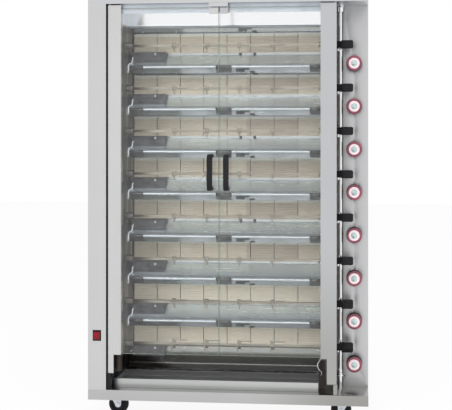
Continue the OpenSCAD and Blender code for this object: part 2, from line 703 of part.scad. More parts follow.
// One stile: wide beside the glass, a narrow leg below it, a pin above and a bore below.
// s is +1 where the glass lies to its right.
module stile(x_out, w, leg_w, leg_z, s) {
    px = x_out + s * pivot_in;
    y0 = door_y - stile_t / 2;
    y1 = door_y + stile_t / 2;
    difference() {
        union() {
            slab(min(x_out, x_out + s * w), max(x_out, x_out + s * w), y0, y1, glass_z - 4, stile_top);
            slab(min(x_out, x_out + s * leg_w), max(x_out, x_out + s * leg_w), y0, y1, leg_z, glass_z);
        }
        // Groove for the glass
        slab(min(x_out + s * (w - 20), x_out + s * (w + 1)), max(x_out + s * (w - 20), x_out + s * (w + 1)),
            door_y - glass_t / 2 - 0.1, door_y + glass_t / 2 + 0.1, glass_z - 0.1, glass_top + 0.1);
        bar_z(leg_z - 1, leg_z + bush_h + 1, pin_r + fit, px, door_y);
    }
    bar_z(stile_top - 10, head_z + bush_h, pin_r, px, door_y);
}
// Plate that the catch holds, clamped to the glass's top corner
module strike_plate(x0, x1) {
    slab(x0, x1, door_y - glass_t / 2 - 3, door_y - glass_t / 2, head_z - 42, head_z - 17);
}
module door_stile_left() color("gainsboro") {
    stile(stile_l_x, stile_l_w, leg_l_w, leg_l_z, 1);
    strike_plate(meet_x - 40, meet_x - door_gap / 2 - 1);
}
module door_stile_right() color("gainsboro") {
    stile(stile_r_x, stile_r_w, leg_r_w, leg_r_z, -1);
    strike_plate(meet_x + door_gap / 2 + 1, meet_x + 36);
}

// A bowed handle: a C in side view, standing off the glass
module door_handle(x) color("black") {
    face = door_y - glass_t / 2;
    translate([x - handle_w / 2, 0, handle_z]) rotate([90, 0, 90]) linear_extrude(handle_w) difference() {
        translate([face, 0]) round_square(2 * handle_out, handle_l, 22);
        translate([face, 0]) round_square(2 * (handle_out - handle_t), handle_l - 2 * handle_t, 14);
        translate([face, -handle_l]) square([2 * handle_out, 2 * handle_l]);
    }
}

base_frame();
header();
left_column();
outer_panels();
control_panel();
cavity_liner();
burner_housings();
ceramic_tiles();
pilot_guards();
support_rod();
gas_rail();
gear_motor();
drive_chain();
drip_tray();
rocker_switch();
door_glass(stile_l_x + stile_l_w - 20, meet_x - door_gap / 2);  // door_glass_left
door_glass(meet_x + door_gap / 2, stile_r_x - stile_r_w + 20);  // door_glass_right
door_stile_left();
door_stile_right();
door_handle(meet_x - 32);  // door_handle_left
door_handle(meet_x + 32);  // door_handle_right
front_fork(-1);  // caster_fork_left
front_fork(1);  // caster_fork_right
rear_caster_forks();
front_wheel(-1);  // wheel_front_left
front_wheel(1);  // wheel_front_right
rear_wheel(-1);  // wheel_rear_left
rear_wheel(1);  // wheel_rear_right
for (k = [1:rows]) {
    spit(k);
    grip(k);
    drive_socket(k);
    knob(k);
}
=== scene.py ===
# %% [markdown]
# # A gas chicken rotisserie, seen through its glass doors
# A tall stainless cabinet roasts birds on eight level spits, in front of eight ceramic
# infrared burners. The measured model is made already, and this lesson dresses it.
# We load that model first, because each piece we add sits on one of its bodies.

# %% Load the measured model
import json
import math
import bmesh
import bpy
from mathutils import Matrix, Vector


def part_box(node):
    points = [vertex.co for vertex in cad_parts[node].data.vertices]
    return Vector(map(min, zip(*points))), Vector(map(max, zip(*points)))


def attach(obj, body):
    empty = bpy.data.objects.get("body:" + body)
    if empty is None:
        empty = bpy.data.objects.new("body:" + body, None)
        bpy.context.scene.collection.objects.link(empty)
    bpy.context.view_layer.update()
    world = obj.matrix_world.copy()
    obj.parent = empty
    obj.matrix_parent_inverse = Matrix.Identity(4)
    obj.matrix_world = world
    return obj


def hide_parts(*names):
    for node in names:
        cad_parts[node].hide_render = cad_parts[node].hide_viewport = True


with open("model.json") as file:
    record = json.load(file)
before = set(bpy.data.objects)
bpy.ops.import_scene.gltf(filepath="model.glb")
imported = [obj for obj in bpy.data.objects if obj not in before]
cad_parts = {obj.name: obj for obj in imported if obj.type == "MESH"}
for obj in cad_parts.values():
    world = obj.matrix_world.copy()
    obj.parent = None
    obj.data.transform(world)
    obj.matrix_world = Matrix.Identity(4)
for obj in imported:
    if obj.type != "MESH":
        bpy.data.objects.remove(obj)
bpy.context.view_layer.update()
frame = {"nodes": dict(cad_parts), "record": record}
nodes = frame["nodes"]
ROWS = range(1, 9)

# %% [markdown]
# ## Sizes that the pieces share
# A screw or a wire has to meet the sheet that it is fixed to, so its place is worked out
# from the boxes of the nodes round it and not typed in. The spit bars lie at one pitch,
# and the burners, knobs and wires all repeat at it, which is why the pitch comes first.

# %% Read the shared sizes
grip_boxes = [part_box(f"grip_{k}") for k in ROWS]
spit_z = [(low.z + high.z) / 2 for low, high in grip_boxes]
pitch = spit_z[0] - spit_z[1]
burner_low, burner_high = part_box("burner_housings")
tile_low, tile_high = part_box("ceramic_tiles")
tray_low, tray_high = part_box("drip_tray")
cavity_x0 = burner_low.x - 0.004
cavity_x1 = burner_high.x + 0.004
mid_x = (cavity_x0 + cavity_x1) / 2
head_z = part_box("left_column")[1].z
base_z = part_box("base_frame")[1].z
front_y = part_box("base_frame")[0].y
tile_y = tile_low.y
nose_y = tile_y - 0.112
print("pitch:", round(pitch, 4), "cavity:", round(cavity_x0, 3), "to", round(cavity_x1, 3))

# %% [markdown]
# ## The camera
# The photograph was taken from a little right of the machine, level, with a long lens and
# from nearly five metres away. A level camera with a shifted frame keeps the upright edges
# upright, as they are in the photograph.

# %% Set the camera
photo_wide, lens_pixels, shift_pixels = 452.0, 1200.0, -73.8
view = bpy.data.cameras.new("view")
view.sensor_width = 36.0
view.lens = lens_pixels / photo_wide * view.sensor_width
view.shift_y = shift_pixels / photo_wide
view.clip_end = 60.0
camera = bpy.data.objects.new("view", view)
camera.location = (0.53, -4.888, 1.132)
camera.rotation_euler = (math.radians(90.0), 0.0, math.radians(6.52))
bpy.context.collection.objects.link(camera)
bpy.context.scene.camera = camera
print("lens:", round(view.lens, 1), "mm")

# %% [markdown]
# ## Light, floor and backdrop
# Polished steel shows whatever stands round it, so a studio surrounds it with white. The
# world is white for rays that look at it, reflect it or pass through glass. As a lamp it is
# strong from the front and weak from behind, because a deep cavity is lit only through its
# mouth. Broad, faint lamps add soft shading, and are kept out of the reflections, because
# a real studio hides its lamps from polished steel. The floor is pale and keeps the shadow.

# %% Helpers that add nodes
PREFIXES = {"ShaderNodeTree": ["ShaderNode"],
            "GeometryNodeTree": ["GeometryNode", "FunctionNode", "ShaderNode"]}


def fill(node, values):
    """Sets inputs of a node to fixed values."""
    for label, value in values.items():
        node.inputs[label].default_value = value


def add(tree, kind, fixed=None, linked=None, **settings):
    """A new node, named without its prefix. linked holds sockets, or names of its group's inputs."""
    prefix = next(p for p in PREFIXES[tree.bl_idname] if hasattr(bpy.types, p + kind))
    node = tree.nodes.new(prefix + kind)
    for name, value in settings.items():
        setattr(node, name, value)
    fill(node, fixed or {})
    for label, source in (linked or {}).items():
        if isinstance(source, str):
            source = tree.nodes["Group Input"].outputs[source]
        tree.links.new(source, node.inputs[label])
    return node


def out(tree, kind, fixed=None, linked=None, **settings):
    """The first result in use of a new node."""
    node = add(tree, kind, fixed, linked, **settings)
    return next(socket for socket in node.outputs if socket.enabled)


def math_node(tree, operation, *values):
    """A Math node's result. A value is a number, a socket, an input's name or (operation, values)."""
    values = [math_node(tree, *value) if isinstance(value, tuple) else value for value in values]
    numbers = {n: value for n, value in enumerate(values) if isinstance(value, (int, float))}
    sockets = {n: value for n, value in enumerate(values) if n not in numbers}
    return out(tree, "Math", numbers, sockets, operation=operation)


def looked_at(tree):
    """1 for rays that come from the camera, a mirror or glass, and 0 for the room's light."""
    rays = add(tree, "LightPath").outputs
    seen = ("MAXIMUM", rays["Is Camera Ray"], rays["Is Glossy Ray"])
    return math_node(tree, "MAXIMUM", seen, rays["Is Transmission Ray"])


def new_material(name):
    """A material, its tree and its Principled shader."""
    mat = bpy.data.materials.new(name)
    mat.use_nodes = True
    return mat, mat.node_tree, mat.node_tree.nodes["Principled BSDF"]


def shown(name, data):
    """An object of the scene at the origin."""
    ob = bpy.data.objects.new(name, data)
    bpy.context.collection.objects.link(ob)
    return ob


print("node helpers ready")

# %% World
scene = bpy.context.scene
scene.view_settings.view_transform = "Standard"
world = bpy.data.worlds.new("studio")
scene.world = world
world.use_nodes = True
sky = world.node_tree
sky.nodes.clear()
heading = add(sky, "SeparateXYZ", linked={0: add(sky, "TexCoord").outputs["Generated"]}).outputs["Y"]
ahead = out(sky, "MapRange", {"From Min": 0.25, "From Max": -0.9, "To Min": 0.34, "To Max": 1.75},
            {"Value": heading}, interpolation_type="SMOOTHSTEP")
level = out(sky, "Mix", {"B": 1.0}, {"Factor": looked_at(sky), "A": ahead})
sky_light = out(sky, "Background", {"Color": (1.0, 1.0, 1.0, 1.0)}, {"Strength": level})
add(sky, "OutputWorld", linked={"Surface": sky_light})
print("world ready")


# %% Lamps
def lamp(name, place, aim, width, height, power):
    """A rectangular lamp at place, turned towards aim."""
    data = bpy.data.lights.new(name, "AREA")
    data.shape = "RECTANGLE"
    data.size = width
    data.size_y = height
    data.energy = power
    ob = shown(name, data)
    ob.location = place
    ob.rotation_euler = (Vector(aim) - Vector(place)).to_track_quat("-Z", "Y").to_euler()
    ob.visible_glossy = False


lamp("front_lamp", (-0.9, -3.4, 3.8), (0.0, 0.0, 0.9), 2.8, 2.2, 62.0)
lamp("side_lamp", (3.4, -1.6, 2.6), (0.2, 0.0, 0.9), 2.0, 2.2, 12.0)
lamp("top_lamp", (0.2, 0.2, 4.2), (0.0, 0.0, 0.0), 2.4, 2.0, 22.0)
print("lamps:", len(bpy.data.lights))

# %% Floor
half = 14.0
corners = [(-half, -half, 0.0), (half, -half, 0.0), (half, half, 0.0), (-half, half, 0.0)]
floor_mesh = bpy.data.meshes.new("floor")
floor_mesh.from_pydata(corners, [], [(0, 1, 2, 3)])
floor = shown("floor", floor_mesh)
paper, tree, _ = new_material("floor_paper")
tree.nodes.clear()
matte = out(tree, "BsdfDiffuse", {"Color": (0.92, 0.92, 0.92, 1.0)})
share = math_node(tree, "MULTIPLY", looked_at(tree), 0.92)
blend = out(tree, "MixShader", linked={"Fac": share, 1: matte, 2: out(tree, "Emission")})
add(tree, "OutputMaterial", linked={"Surface": blend})
floor_mesh.materials.append(paper)
print("floor:", 2 * half, "m")

# %% [markdown]
# ## Effects that several finishes share
# Brushed steel, a heat-stained liner and moulded plastic all need some unevenness, each at
# its own scale. Each effect is one node group with named inputs, placed in the materials
# with their own values. A group only gives masks and heights: the shader stays outside.

# %% A helper that starts a node group
VEC, NUM, INT = "NodeSocketVector", "NodeSocketFloat", "NodeSocketInt"


def new_group(title, inputs, outputs, kind="ShaderNodeTree"):
    """A node group without an effect yet. Each row of sockets is their kind and their names."""
    tree = bpy.data.node_groups.new(title, kind)
    for in_out, rows in (("INPUT", inputs), ("OUTPUT", outputs)):
        for socket_kind, *labels in rows:
            for label in labels:
                tree.interface.new_socket(name=label, in_out=in_out, socket_type=socket_kind)
    tree.nodes.new("NodeGroupInput")
    tree.nodes.new("NodeGroupOutput")
    return tree


def give(tree, label, socket):
    """Makes a socket a result of its group."""
    tree.links.new(socket, tree.nodes["Group Output"].inputs[label])


def here(tree):
    """The point that is being shaded, in the object's own coordinates."""
    return add(tree, "TexCoord").outputs["Object"]


def contrasted(tree, value):
    """Spreads a value about 0.5 by the group's contrast and keeps it between 0 and 1."""
    spread = math_node(tree, "ADD", ("MULTIPLY", ("SUBTRACT", value, 0.5), "Contrast"), 0.5)
    return out(tree, "Clamp", linked={"Value": spread})


def smooth_step(tree, value, start, end):
    """Rises smoothly from 0 at start to 1 at end."""
    return out(tree, "MapRange", linked={"Value": value, "From Min": start, "From Max": end},
               interpolation_type="SMOOTHSTEP")


print("group helpers ready")

# %% Brushing, blotches and a step along a direction
brushing = new_group("brushing", [(VEC, "Grain"), (NUM, "Contrast")], [(NUM, "Streak", "Height")])
stretch = out(brushing, "VectorMath", linked={0: here(brushing), 1: "Grain"}, operation="MULTIPLY")
lines = out(brushing, "TexNoise", {"Scale": 1.0, "Detail": 3.0, "Roughness": 0.65}, {"Vector": stretch})
give(brushing, "Streak", contrasted(brushing, lines))
give(brushing, "Height", lines)

blotches = new_group("blotches", [(NUM, "Scale", "Contrast")], [(NUM, "Mask")])
cloud = out(blotches, "TexNoise", {"Detail": 6.0, "Roughness": 0.58},
            {"Vector": here(blotches), "Scale": "Scale"})
give(blotches, "Mask", contrasted(blotches, cloud))

step_mask = new_group("step_mask", [(VEC, "Along"), (NUM, "Low", "High")], [(NUM, "Above")])
along = out(step_mask, "VectorMath", linked={0: here(step_mask), 1: "Along"}, operation="DOT_PRODUCT")
give(step_mask, "Above", smooth_step(step_mask, along, "Low", "High"))
print("groups:", len(bpy.data.node_groups))

# %% The holes of the ceramic plates, and a band that comes back at every row
pores = new_group("pores", [(NUM, "Pitch", "Radius")], [(NUM, "Hole")])
axes = add(pores, "SeparateXYZ", linked={0: here(pores)}).outputs
across = math_node(pores, "DIVIDE", axes["X"], "Pitch")
up = math_node(pores, "DIVIDE", axes["Z"], "Pitch")
shifted = ("ADD", across, ("MULTIPLY", ("FLOORED_MODULO", ("FLOOR", up), 2.0), 0.5))
squares = [("POWER", ("SUBTRACT", ("FRACT", side), 0.5), 2.0) for side in (shifted, up)]
give(pores, "Hole", math_node(pores, "LESS_THAN", ("SQRT", ("ADD", *squares)), "Radius"))

every_row = new_group("every_row", [(NUM, "Start", "Pitch", "Low", "High", "Soft")], [(NUM, "Mask")])
under = 0.11
up = add(every_row, "SeparateXYZ", linked={0: here(every_row)}).outputs["Z"]
in_row = ("FLOORED_MODULO", ("ADD", ("SUBTRACT", up, "Start"), under), "Pitch")
height = math_node(every_row, "SUBTRACT", in_row, under)
edges = [smooth_step(every_row, height, edge, math_node(every_row, "ADD", edge, "Soft"))
         for edge in ("Low", "High")]
give(every_row, "Mask", math_node(every_row, "SUBTRACT", *edges))
print("groups:", [g.name for g in bpy.data.node_groups])

# %% [markdown]
# ## Finishes
# A finish is a Principled shader with a dark and a light colour, mixed by the blotches and
# the brushing, and with a roughness that varies in the same places. One function makes
# them all, because the real finishes differ only in colour, gloss and grain.


# %% A helper that makes one finish
def link_value(mat, group, inputs):
    """The results of a shared group that is placed in a material, with its own values."""
    return add(mat.node_tree, "Group", inputs, node_tree=group).outputs


def finish(name, dark, light, rough, metal=0.0, grain=220.0, patch=4.0, contrast=1.6, bump=0.0, coat=0.0,
           streaks=0.25, shine=0.5, crisp=1.0):
    """A Principled finish between two colours. grain is one scale, or those along X, Y and Z."""
    mat, tree, shader = new_material(name)
    fill(shader, {"Metallic": metal, "Coat Weight": coat, "Specular IOR Level": shine})
    grain = grain if isinstance(grain, tuple) else (grain, grain, grain)
    patches = link_value(mat, blotches, {"Scale": patch, "Contrast": contrast})
    lines = link_value(mat, brushing, {"Grain": grain, "Contrast": crisp})
    both = out(tree, "Mix", {"Factor": streaks}, {"A": patches["Mask"], "B": lines["Streak"]})
    ends = {"A": (*dark, 1.0), "B": (*light, 1.0)}
    tree.links.new(out(tree, "Mix", ends, {"Factor": both}, data_type="RGBA"), shader.inputs["Base Color"])
    gloss = out(tree, "MapRange", {"To Min": rough[0], "To Max": rough[1]}, {"Value": both})
    tree.links.new(gloss, shader.inputs["Roughness"])
    if bump:
        relief = out(tree, "Bump", {"Strength": bump, "Distance": 0.0006}, {"Height": lines["Height"]})
        tree.links.new(relief, shader.inputs["Normal"])
    return mat


print("finish helper ready")

# %% [markdown]
# ## Painted light and shade by place
# Painted shade, highlights and reflections lie in known places: under the noses, at the
# wall, over the tray; a few plain tones also change by place. Each is a second colour that a
# mask mixes over the finish. A mask is a step along a direction, a band between two steps,
# or a band that comes back at each row.

# %% Helpers that mix a second colour into a finish
ALONG_X, ALONG_Y, ALONG_Z = (1.0, 0.0, 0.0), (0.0, 1.0, 0.0), (0.0, 0.0, 1.0)


def darken(mat, mask, colour, invert=False):
    """Mixes a second colour over a finish, where a mask says."""
    tree = mat.node_tree
    base = tree.nodes["Principled BSDF"].inputs["Base Color"]
    first, second = ("B", "A") if invert else ("A", "B")
    feeds = {"Factor": mask, first: base.links[0].from_socket}
    tree.links.new(out(tree, "Mix", {second: (*colour, 1.0)}, feeds, data_type="RGBA"), base)


def above(mat, low, high, along=ALONG_Z):
    """A mask that rises from 0 to 1 between two distances along a direction."""
    return link_value(mat, step_mask, {"Along": along, "Low": low, "High": high})["Above"]


def band(mat, along, low, high, soft):
    """A mask that is 1 between two distances along a direction."""
    return math_node(mat.node_tree, "SUBTRACT", above(mat, low - soft, low, along),
                     above(mat, high, high + soft, along))


def at_rows(mat, low, high, soft):
    """A mask that is 1 between two heights about every spit."""
    return link_value(mat, every_row, {
        "Start": spit_z[-1], "Pitch": pitch, "Low": low, "High": high, "Soft": soft})["Mask"]


def times(mat, mask, other):
    """Two masks, or a mask and a share, multiplied."""
    return math_node(mat.node_tree, "MULTIPLY", mask, other)


print("mask helpers ready")

# %% Steel finishes of the casing
UPRIGHT, LEVEL = (900.0, 900.0, 5.0), (5.0, 5.0, 900.0)
brushed = {"metal": 1.0, "patch": 3.0, "bump": 0.1, "streaks": 0.45}
stile = {"metal": 1.0, "grain": UPRIGHT, "patch": 3.0, "bump": 0.08, "streaks": 0.5}
steel = finish(
    "brushed_steel_upright", (0.57, 0.57, 0.575), (0.7, 0.7, 0.7), (0.28, 0.42), grain=UPRIGHT, **brushed)
steel_level = finish(
    "brushed_steel_level", (0.58, 0.585, 0.6), (0.7, 0.71, 0.73), (0.3, 0.44), grain=LEVEL, **brushed)
stile_steel = finish("stile_steel", (0.58, 0.58, 0.58), (0.7, 0.7, 0.7), (0.22, 0.34), **stile)
# Painted shade: the right stile gets a darker copy of the stile steel, darker still towards its foot.
shaded_stile = finish("stile_steel_shaded", (0.5, 0.505, 0.52), (0.6, 0.61, 0.63), (0.24, 0.36), **stile)
darken(shaded_stile, above(shaded_stile, base_z + 0.05, base_z + 0.55), (0.42, 0.42, 0.41), invert=True)
base_steel = finish(
    "base_steel", (0.46, 0.465, 0.465), (0.56, 0.56, 0.555), (0.16, 0.28), grain=LEVEL, **brushed)
# Painted shade: the base darkens towards its right end.
darken(base_steel, above(base_steel, 0.05, 0.5, ALONG_X), (0.36, 0.355, 0.34))
panel_steel = finish(
    "panel_steel", (0.55, 0.55, 0.56), (0.64, 0.64, 0.65), (0.32, 0.46), 1.0, UPRIGHT, 2.2, bump=0.08,
    streaks=0.4)
print("casing finishes made")

# %% The liner: darker bands, painted shade beside the guards and over the tray, lighter and bluer above, a painted highlight on a rear rim
liner = finish(
    "liner_steel", (0.1, 0.09, 0.08), (0.78, 0.76, 0.72), (0.28, 0.5), 1.0, (9.0, 22.0, 3.0), 9.0, 2.8,
    bump=0.03, streaks=0.78, crisp=5.0)
liner_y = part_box("cavity_liner")[0].y
# Two bands at given depths are darker.
dark_bands = math_node(liner.node_tree, "ADD", band(liner, ALONG_Y, liner_y + 0.035, liner_y + 0.075, 0.02),
                   band(liner, ALONG_Y, liner_y + 0.125, liner_y + 0.175, 0.02))
darken(liner, times(liner, dark_bands, 0.62), (0.1, 0.095, 0.09))
# Painted shade: a dark bluish patch on the wall at the height of each guard.
at_wall = band(liner, ALONG_X, cavity_x0 - 0.1, cavity_x0 + 0.012, 0.002)
beside = times(liner, at_rows(liner, -0.082, -0.034, 0.006), at_wall)
darken(liner, times(liner, beside, 0.8), (0.16, 0.165, 0.2))
# Lighter and bluer above the top burner.
darken(liner, above(liner, spit_z[0] + 0.078, spit_z[0] + 0.086), (0.6, 0.65, 0.7))
# Painted shade: near black low down, over the tray.
darken(liner, above(liner, base_z + 0.07, base_z + 0.11), (0.04, 0.034, 0.03), invert=True)
# Painted shade: the liner left of the cavity wall, shut in behind it, is near black.
darken(liner, band(liner, ALONG_X, cavity_x0 - 0.5, cavity_x0 - 0.012, 0.002), (0.07, 0.062, 0.055))
# Painted highlight: a near-white line low at the back, along a folded rim.
rear_rim_highlight = times(liner, band(liner, ALONG_Z, base_z - 0.034, base_z - 0.022, 0.001),
                 band(liner, ALONG_Y, 0.05, 0.5, 0.002))
darken(liner, rear_rim_highlight, (0.98, 0.98, 0.98))
print("liner finish made")

# %% The burner housings: darker bands, painted shade on the noses and low down, painted dark reflections on the drip edges
housing = finish(
    "housing_steel", (0.585, 0.655, 0.71), (0.87, 0.945, 1.0), (0.18, 0.32), 0.72, (3.0, 60.0, 60.0), 7.0,
    2.0, bump=0.05, streaks=0.6, crisp=1.8)
# Three thin bands at given depths in front of the tiles get darker, cooler tones; the third, on the noses,
# is painted shade that dims their highlight.
for y0, y1, soft, colour in (
        (0.0108, 0.0094, 0.0004, (0.48, 0.5, 0.485)), (0.003, 0.0014, 0.0004, (0.62, 0.64, 0.635)),
        (0.13, 0.097, 0.002, (0.52, 0.56, 0.59))):
    darken(housing, band(housing, ALONG_Y, tile_y - y0, tile_y - y1, soft), colour)
# Painted dark reflections on the drip edge under each nose: from x0 to x1 along it, and from low to high
# about the spit
for x0, x1, low, high, soft, grey in (
        (cavity_x0 - 0.02, -0.225, -0.109, -0.0905, 0.035, 0.19),
        (0.0226, 0.0755, -0.097, -0.0905, 0.003, 0.11), (0.0226, 0.0552, -0.105, -0.0965, 0.003, 0.11),
        (0.078, 0.096, -0.109, -0.1005, 0.002, 0.08)):
    dark_reflection = times(housing, at_rows(housing, low, high, 0.001), band(housing, ALONG_X, x0, x1, soft))
    darken(housing, dark_reflection, (grey, 1.13 * grey, 1.1 * grey))
# Painted shade: the housing is dark low down, just above the base.
darken(housing, above(housing, base_z + 0.0625, base_z + 0.075), (0.17, 0.165, 0.16), invert=True)
# Painted shade: a near-black wedge in the lower left corner.
corner = cavity_x0 + 0.04 + 2.5 * (base_z + 0.054)
darken(housing, above(housing, corner, corner + 0.1, (1.0, 0.0, 2.5)), (0.022, 0.018, 0.016), invert=True)
print("housing finish made")

# %% The tray: painted light at its back end, painted shade on its back wall, a painted highlight along its back lip
tray_steel = finish(
    "tray_steel", (0.48, 0.49, 0.48), (0.58, 0.59, 0.58), (0.24, 0.4), 1.0, (5.0, 300.0, 900.0), 3.0,
    bump=0.08, streaks=0.4)
tray_inside = finish(
    "tray_inside", (0.3, 0.3, 0.302), (0.5, 0.5, 0.495), (0.25, 0.45), 0.25, (5.0, 300.0, 60.0), 6.0, 2.4,
    bump=0.08)
tray_back = tray_high.y + tray_low.z
# Painted light at the back end, painted shade on the back wall and a painted highlight along the back lip.
for along, low, high, soft, colour in (
        (ALONG_Y, tray_high.y - 0.05, tray_high.y - 0.004, 0.006, (0.52, 0.52, 0.53)),
        ((0.0, 1.0, 1.0), tray_back + 0.003, tray_back + 0.1, 0.002, (0.3, 0.3, 0.3)),
        (ALONG_Z, tray_high.z - 0.0098, tray_high.z - 0.0074, 0.0003, (0.95, 0.95, 0.95))):
    darken(tray_inside, band(tray_inside, along, low, high, soft), colour)
print("tray finishes made")

# %% Steel, zinc and brass of the working parts
spit_steel = finish(
    "spit_steel", (0.3, 0.27, 0.23), (0.5, 0.46, 0.39), (0.4, 0.6), 0.8, (30.0, 300.0, 300.0), 14.0, 2.2,
    bump=0.1)
# Painted shade: each spit darkens towards its left end, by the wall.
spit_end_shade = above(spit_steel, cavity_x0 + 0.04, cavity_x0 + 0.13, ALONG_X)
darken(spit_steel, spit_end_shade, (0.055, 0.042, 0.035), invert=True)
socket_steel = finish(
    "socket_steel", (0.07, 0.065, 0.06), (0.28, 0.27, 0.25), (0.35, 0.55), 1.0, 90.0, 40.0, 2.6, bump=0.15)
rod_chrome = finish(
    "rod_chrome", (0.8, 0.81, 0.82), (0.9, 0.91, 0.92), (0.05, 0.12), 1.0, UPRIGHT, 5.0, bump=0.03)
zinc = finish(
    "zinc_plate", (0.55, 0.57, 0.61), (0.72, 0.74, 0.78), (0.3, 0.5), 1.0, 60.0, 25.0, 2.2, bump=0.2)
guard_steel = finish(
    "guard_steel", (0.012, 0.012, 0.014), (0.19, 0.19, 0.2), (0.36, 0.6), 0.7, (14.0, 60.0, 90.0), 20.0, 3.4,
    bump=0.3, streaks=0.5, crisp=2.4)
scorched = finish(
    "scorched_steel", (0.022, 0.021, 0.022), (0.13, 0.12, 0.12), (0.42, 0.66), 0.55, 90.0, 22.0, 2.6,
    bump=0.3)
brass = finish("gas_brass", (0.52, 0.38, 0.17), (0.74, 0.58, 0.3), (0.25, 0.45), 1.0, 80.0, 12.0, bump=0.15)
chain_steel = finish(
    "chain_steel", (0.05, 0.05, 0.05), (0.22, 0.21, 0.2), (0.3, 0.55), 0.9, patch=40.0, contrast=2.2)
print("steel finishes made")

# %% Plastics, rubber and paint
black = finish(
    "moulded_black", (0.006, 0.006, 0.007), (0.016, 0.016, 0.018), (0.34, 0.5), 0.0, 700.0, 9.0, bump=0.25,
    shine=0.22)
crimson = finish(
    "knob_crimson", (0.085, 0.012, 0.028), (0.34, 0.055, 0.105), (0.22, 0.36), 0.0, 70.0, 20.0, 2.4,
    bump=0.12, coat=0.5)
signal_red = finish(
    "switch_red", (0.15, 0.003, 0.01), (0.27, 0.008, 0.02), (0.34, 0.46), 0.0, 600.0, 30.0, bump=0.08,
    shine=0.25)
rubber = finish(
    "caster_rubber", (0.006, 0.006, 0.008), (0.022, 0.022, 0.025), (0.55, 0.78), 0.0, 260.0, 30.0, 2.2,
    bump=0.4, shine=0.2)
motor_paint = finish(
    "motor_paint", (0.05, 0.06, 0.08), (0.1, 0.12, 0.15), (0.38, 0.55), 0.0, 300.0, 12.0, bump=0.25,
    coat=0.2)
print("plastics made")

# %% Ceramic: paler in the two lowest rows, painted shade right of the middle, a painted highlight at the crest
ceramic = finish(
    "ceramic_plate", (0.68, 0.58, 0.45), (0.95, 0.87, 0.73), (0.8, 0.95), 0.0, (20.0, 20.0, 160.0), 10.0,
    2.0, bump=0.2, streaks=0.5)
# The two lowest rows are paler.
upper_rows = above(ceramic, spit_z[6] + 0.06, spit_z[6] + 0.08)
darken(ceramic, upper_rows, (0.97, 0.875, 0.72), invert=True)
# Painted shade right of the middle, in the upper rows.
shade_right_of_middle = times(ceramic, upper_rows, band(ceramic, ALONG_X, 0.057, 0.262, 0.006))
darken(ceramic, times(ceramic, shade_right_of_middle, 0.55), (0.52, 0.43, 0.36))
# Painted highlight along the crest of each row of plates.
darken(ceramic, at_rows(ceramic, 0.047, 0.0605, 0.0015), (1.0, 0.97, 0.88))
darken(ceramic, link_value(ceramic, pores, {"Pitch": 0.0034, "Radius": 0.26})["Hole"], (0.16, 0.12, 0.09))
print("other finishes made")

# %% [markdown]
# ## Door glass
# The doors are single clear panes with a faint green edge. A Principled glass would stop
# the lamps' light at the pane and leave the cavity black, so the pane lets shadow rays
# through, as real thin glass does. Camera rays still meet the glass and its reflections.

# %% Glass
glass, tree, pane = new_material("door_glass")
fill(pane, {"Base Color": (0.995, 1.0, 0.998, 1.0), "Roughness": 0.0, "Transmission Weight": 1.0,
            "IOR": 1.45})
rays = add(tree, "LightPath").outputs
clear = out(tree, "BsdfTransparent", {"Color": (0.95, 0.97, 0.965, 1.0)})
either = math_node(tree, "MAXIMUM", rays["Is Shadow Ray"], rays["Is Diffuse Ray"])
blend = out(tree, "MixShader", linked={"Fac": either, 1: pane.outputs[0], 2: clear})
tree.links.new(blend, tree.nodes["Material Output"].inputs["Surface"])
print("glass made")

# %% [markdown]
# ## The finishes go on the measured nodes
# A node whose shape is right keeps its mesh, and only gets a better material.

# %% Put the finishes on
wear = {
    "base_frame": base_steel, "header": steel_level, "left_column": steel, "outer_panels": steel,
    "control_panel": panel_steel, "cavity_liner": liner, "burner_housings": housing,
    "ceramic_tiles": ceramic, "pilot_guards": guard_steel, "support_rod": rod_chrome, "gas_rail": brass,
    "gear_motor": motor_paint, "drive_chain": chain_steel, "drip_tray": tray_steel,
    "rocker_switch": signal_red, "rear_caster_forks": zinc, "door_stile_left": stile_steel,
    "door_stile_right": shaded_stile}
in_pairs = {"door_glass": glass, "door_handle": black, "caster_fork": zinc, "wheel_front": rubber,
            "wheel_rear": rubber}
in_rows = {"spit": spit_steel, "grip": black, "drive_socket": socket_steel, "knob": crimson}
for ends, mats in ((("left", "right"), in_pairs), (ROWS, in_rows)):
    wear |= {f"{name}_{end}": mat for end in ends for name, mat in mats.items()}
for name, mat in wear.items():
    mesh = nodes[name].data
    mesh.materials.clear()
    mesh.materials.append(mat)
print("dressed:", len(wear), "nodes")

# %% [markdown]
# ## Softened edges
# Folded sheet and moulded plastic have no knife edges: each catches a thin line of light
# along its rounded edge. A shader could fake that, but here a copy of the measured mesh
# gets a real bevel. The copy is merged first and its flat triangles are joined, because a
# bevel would otherwise follow every triangle's side.

# %% Helpers that make and settle a piece
slot_of = {part["node"]: part["material_slot"] for part in frame["record"]["subparts"]}
body_of = {name: body for body, names in frame["record"]["behaviour"]["bodies"].items() for name in names}


def settle(piece, body, slot, *replaced):
    """Rides a piece on its body and hides the nodes that it stands for. Its slot is not used."""
    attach(piece, body)
    if replaced:
        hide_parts(*replaced)


def stand_in(piece, name):
    """Settles a piece in the place of a node, on its body."""
    settle(piece, body_of[name], slot_of[name], name)


def new_piece(name, mesh, mats):
    """An object at the origin with its finishes."""
    for mat in mats:
        mesh.materials.append(mat)
    return shown(name, mesh)


def piece_from(bm, name, mats, sharp=None):
    """An object from a bmesh, with edges sharp from that many degrees on."""
    mesh = bpy.data.meshes.new(name)
    bm.to_mesh(mesh)
    bm.free()
    if sharp:
        mesh.set_sharp_from_angle(angle=math.radians(sharp))
    return new_piece(name, mesh, mats)


print("slots named:", len(slot_of))


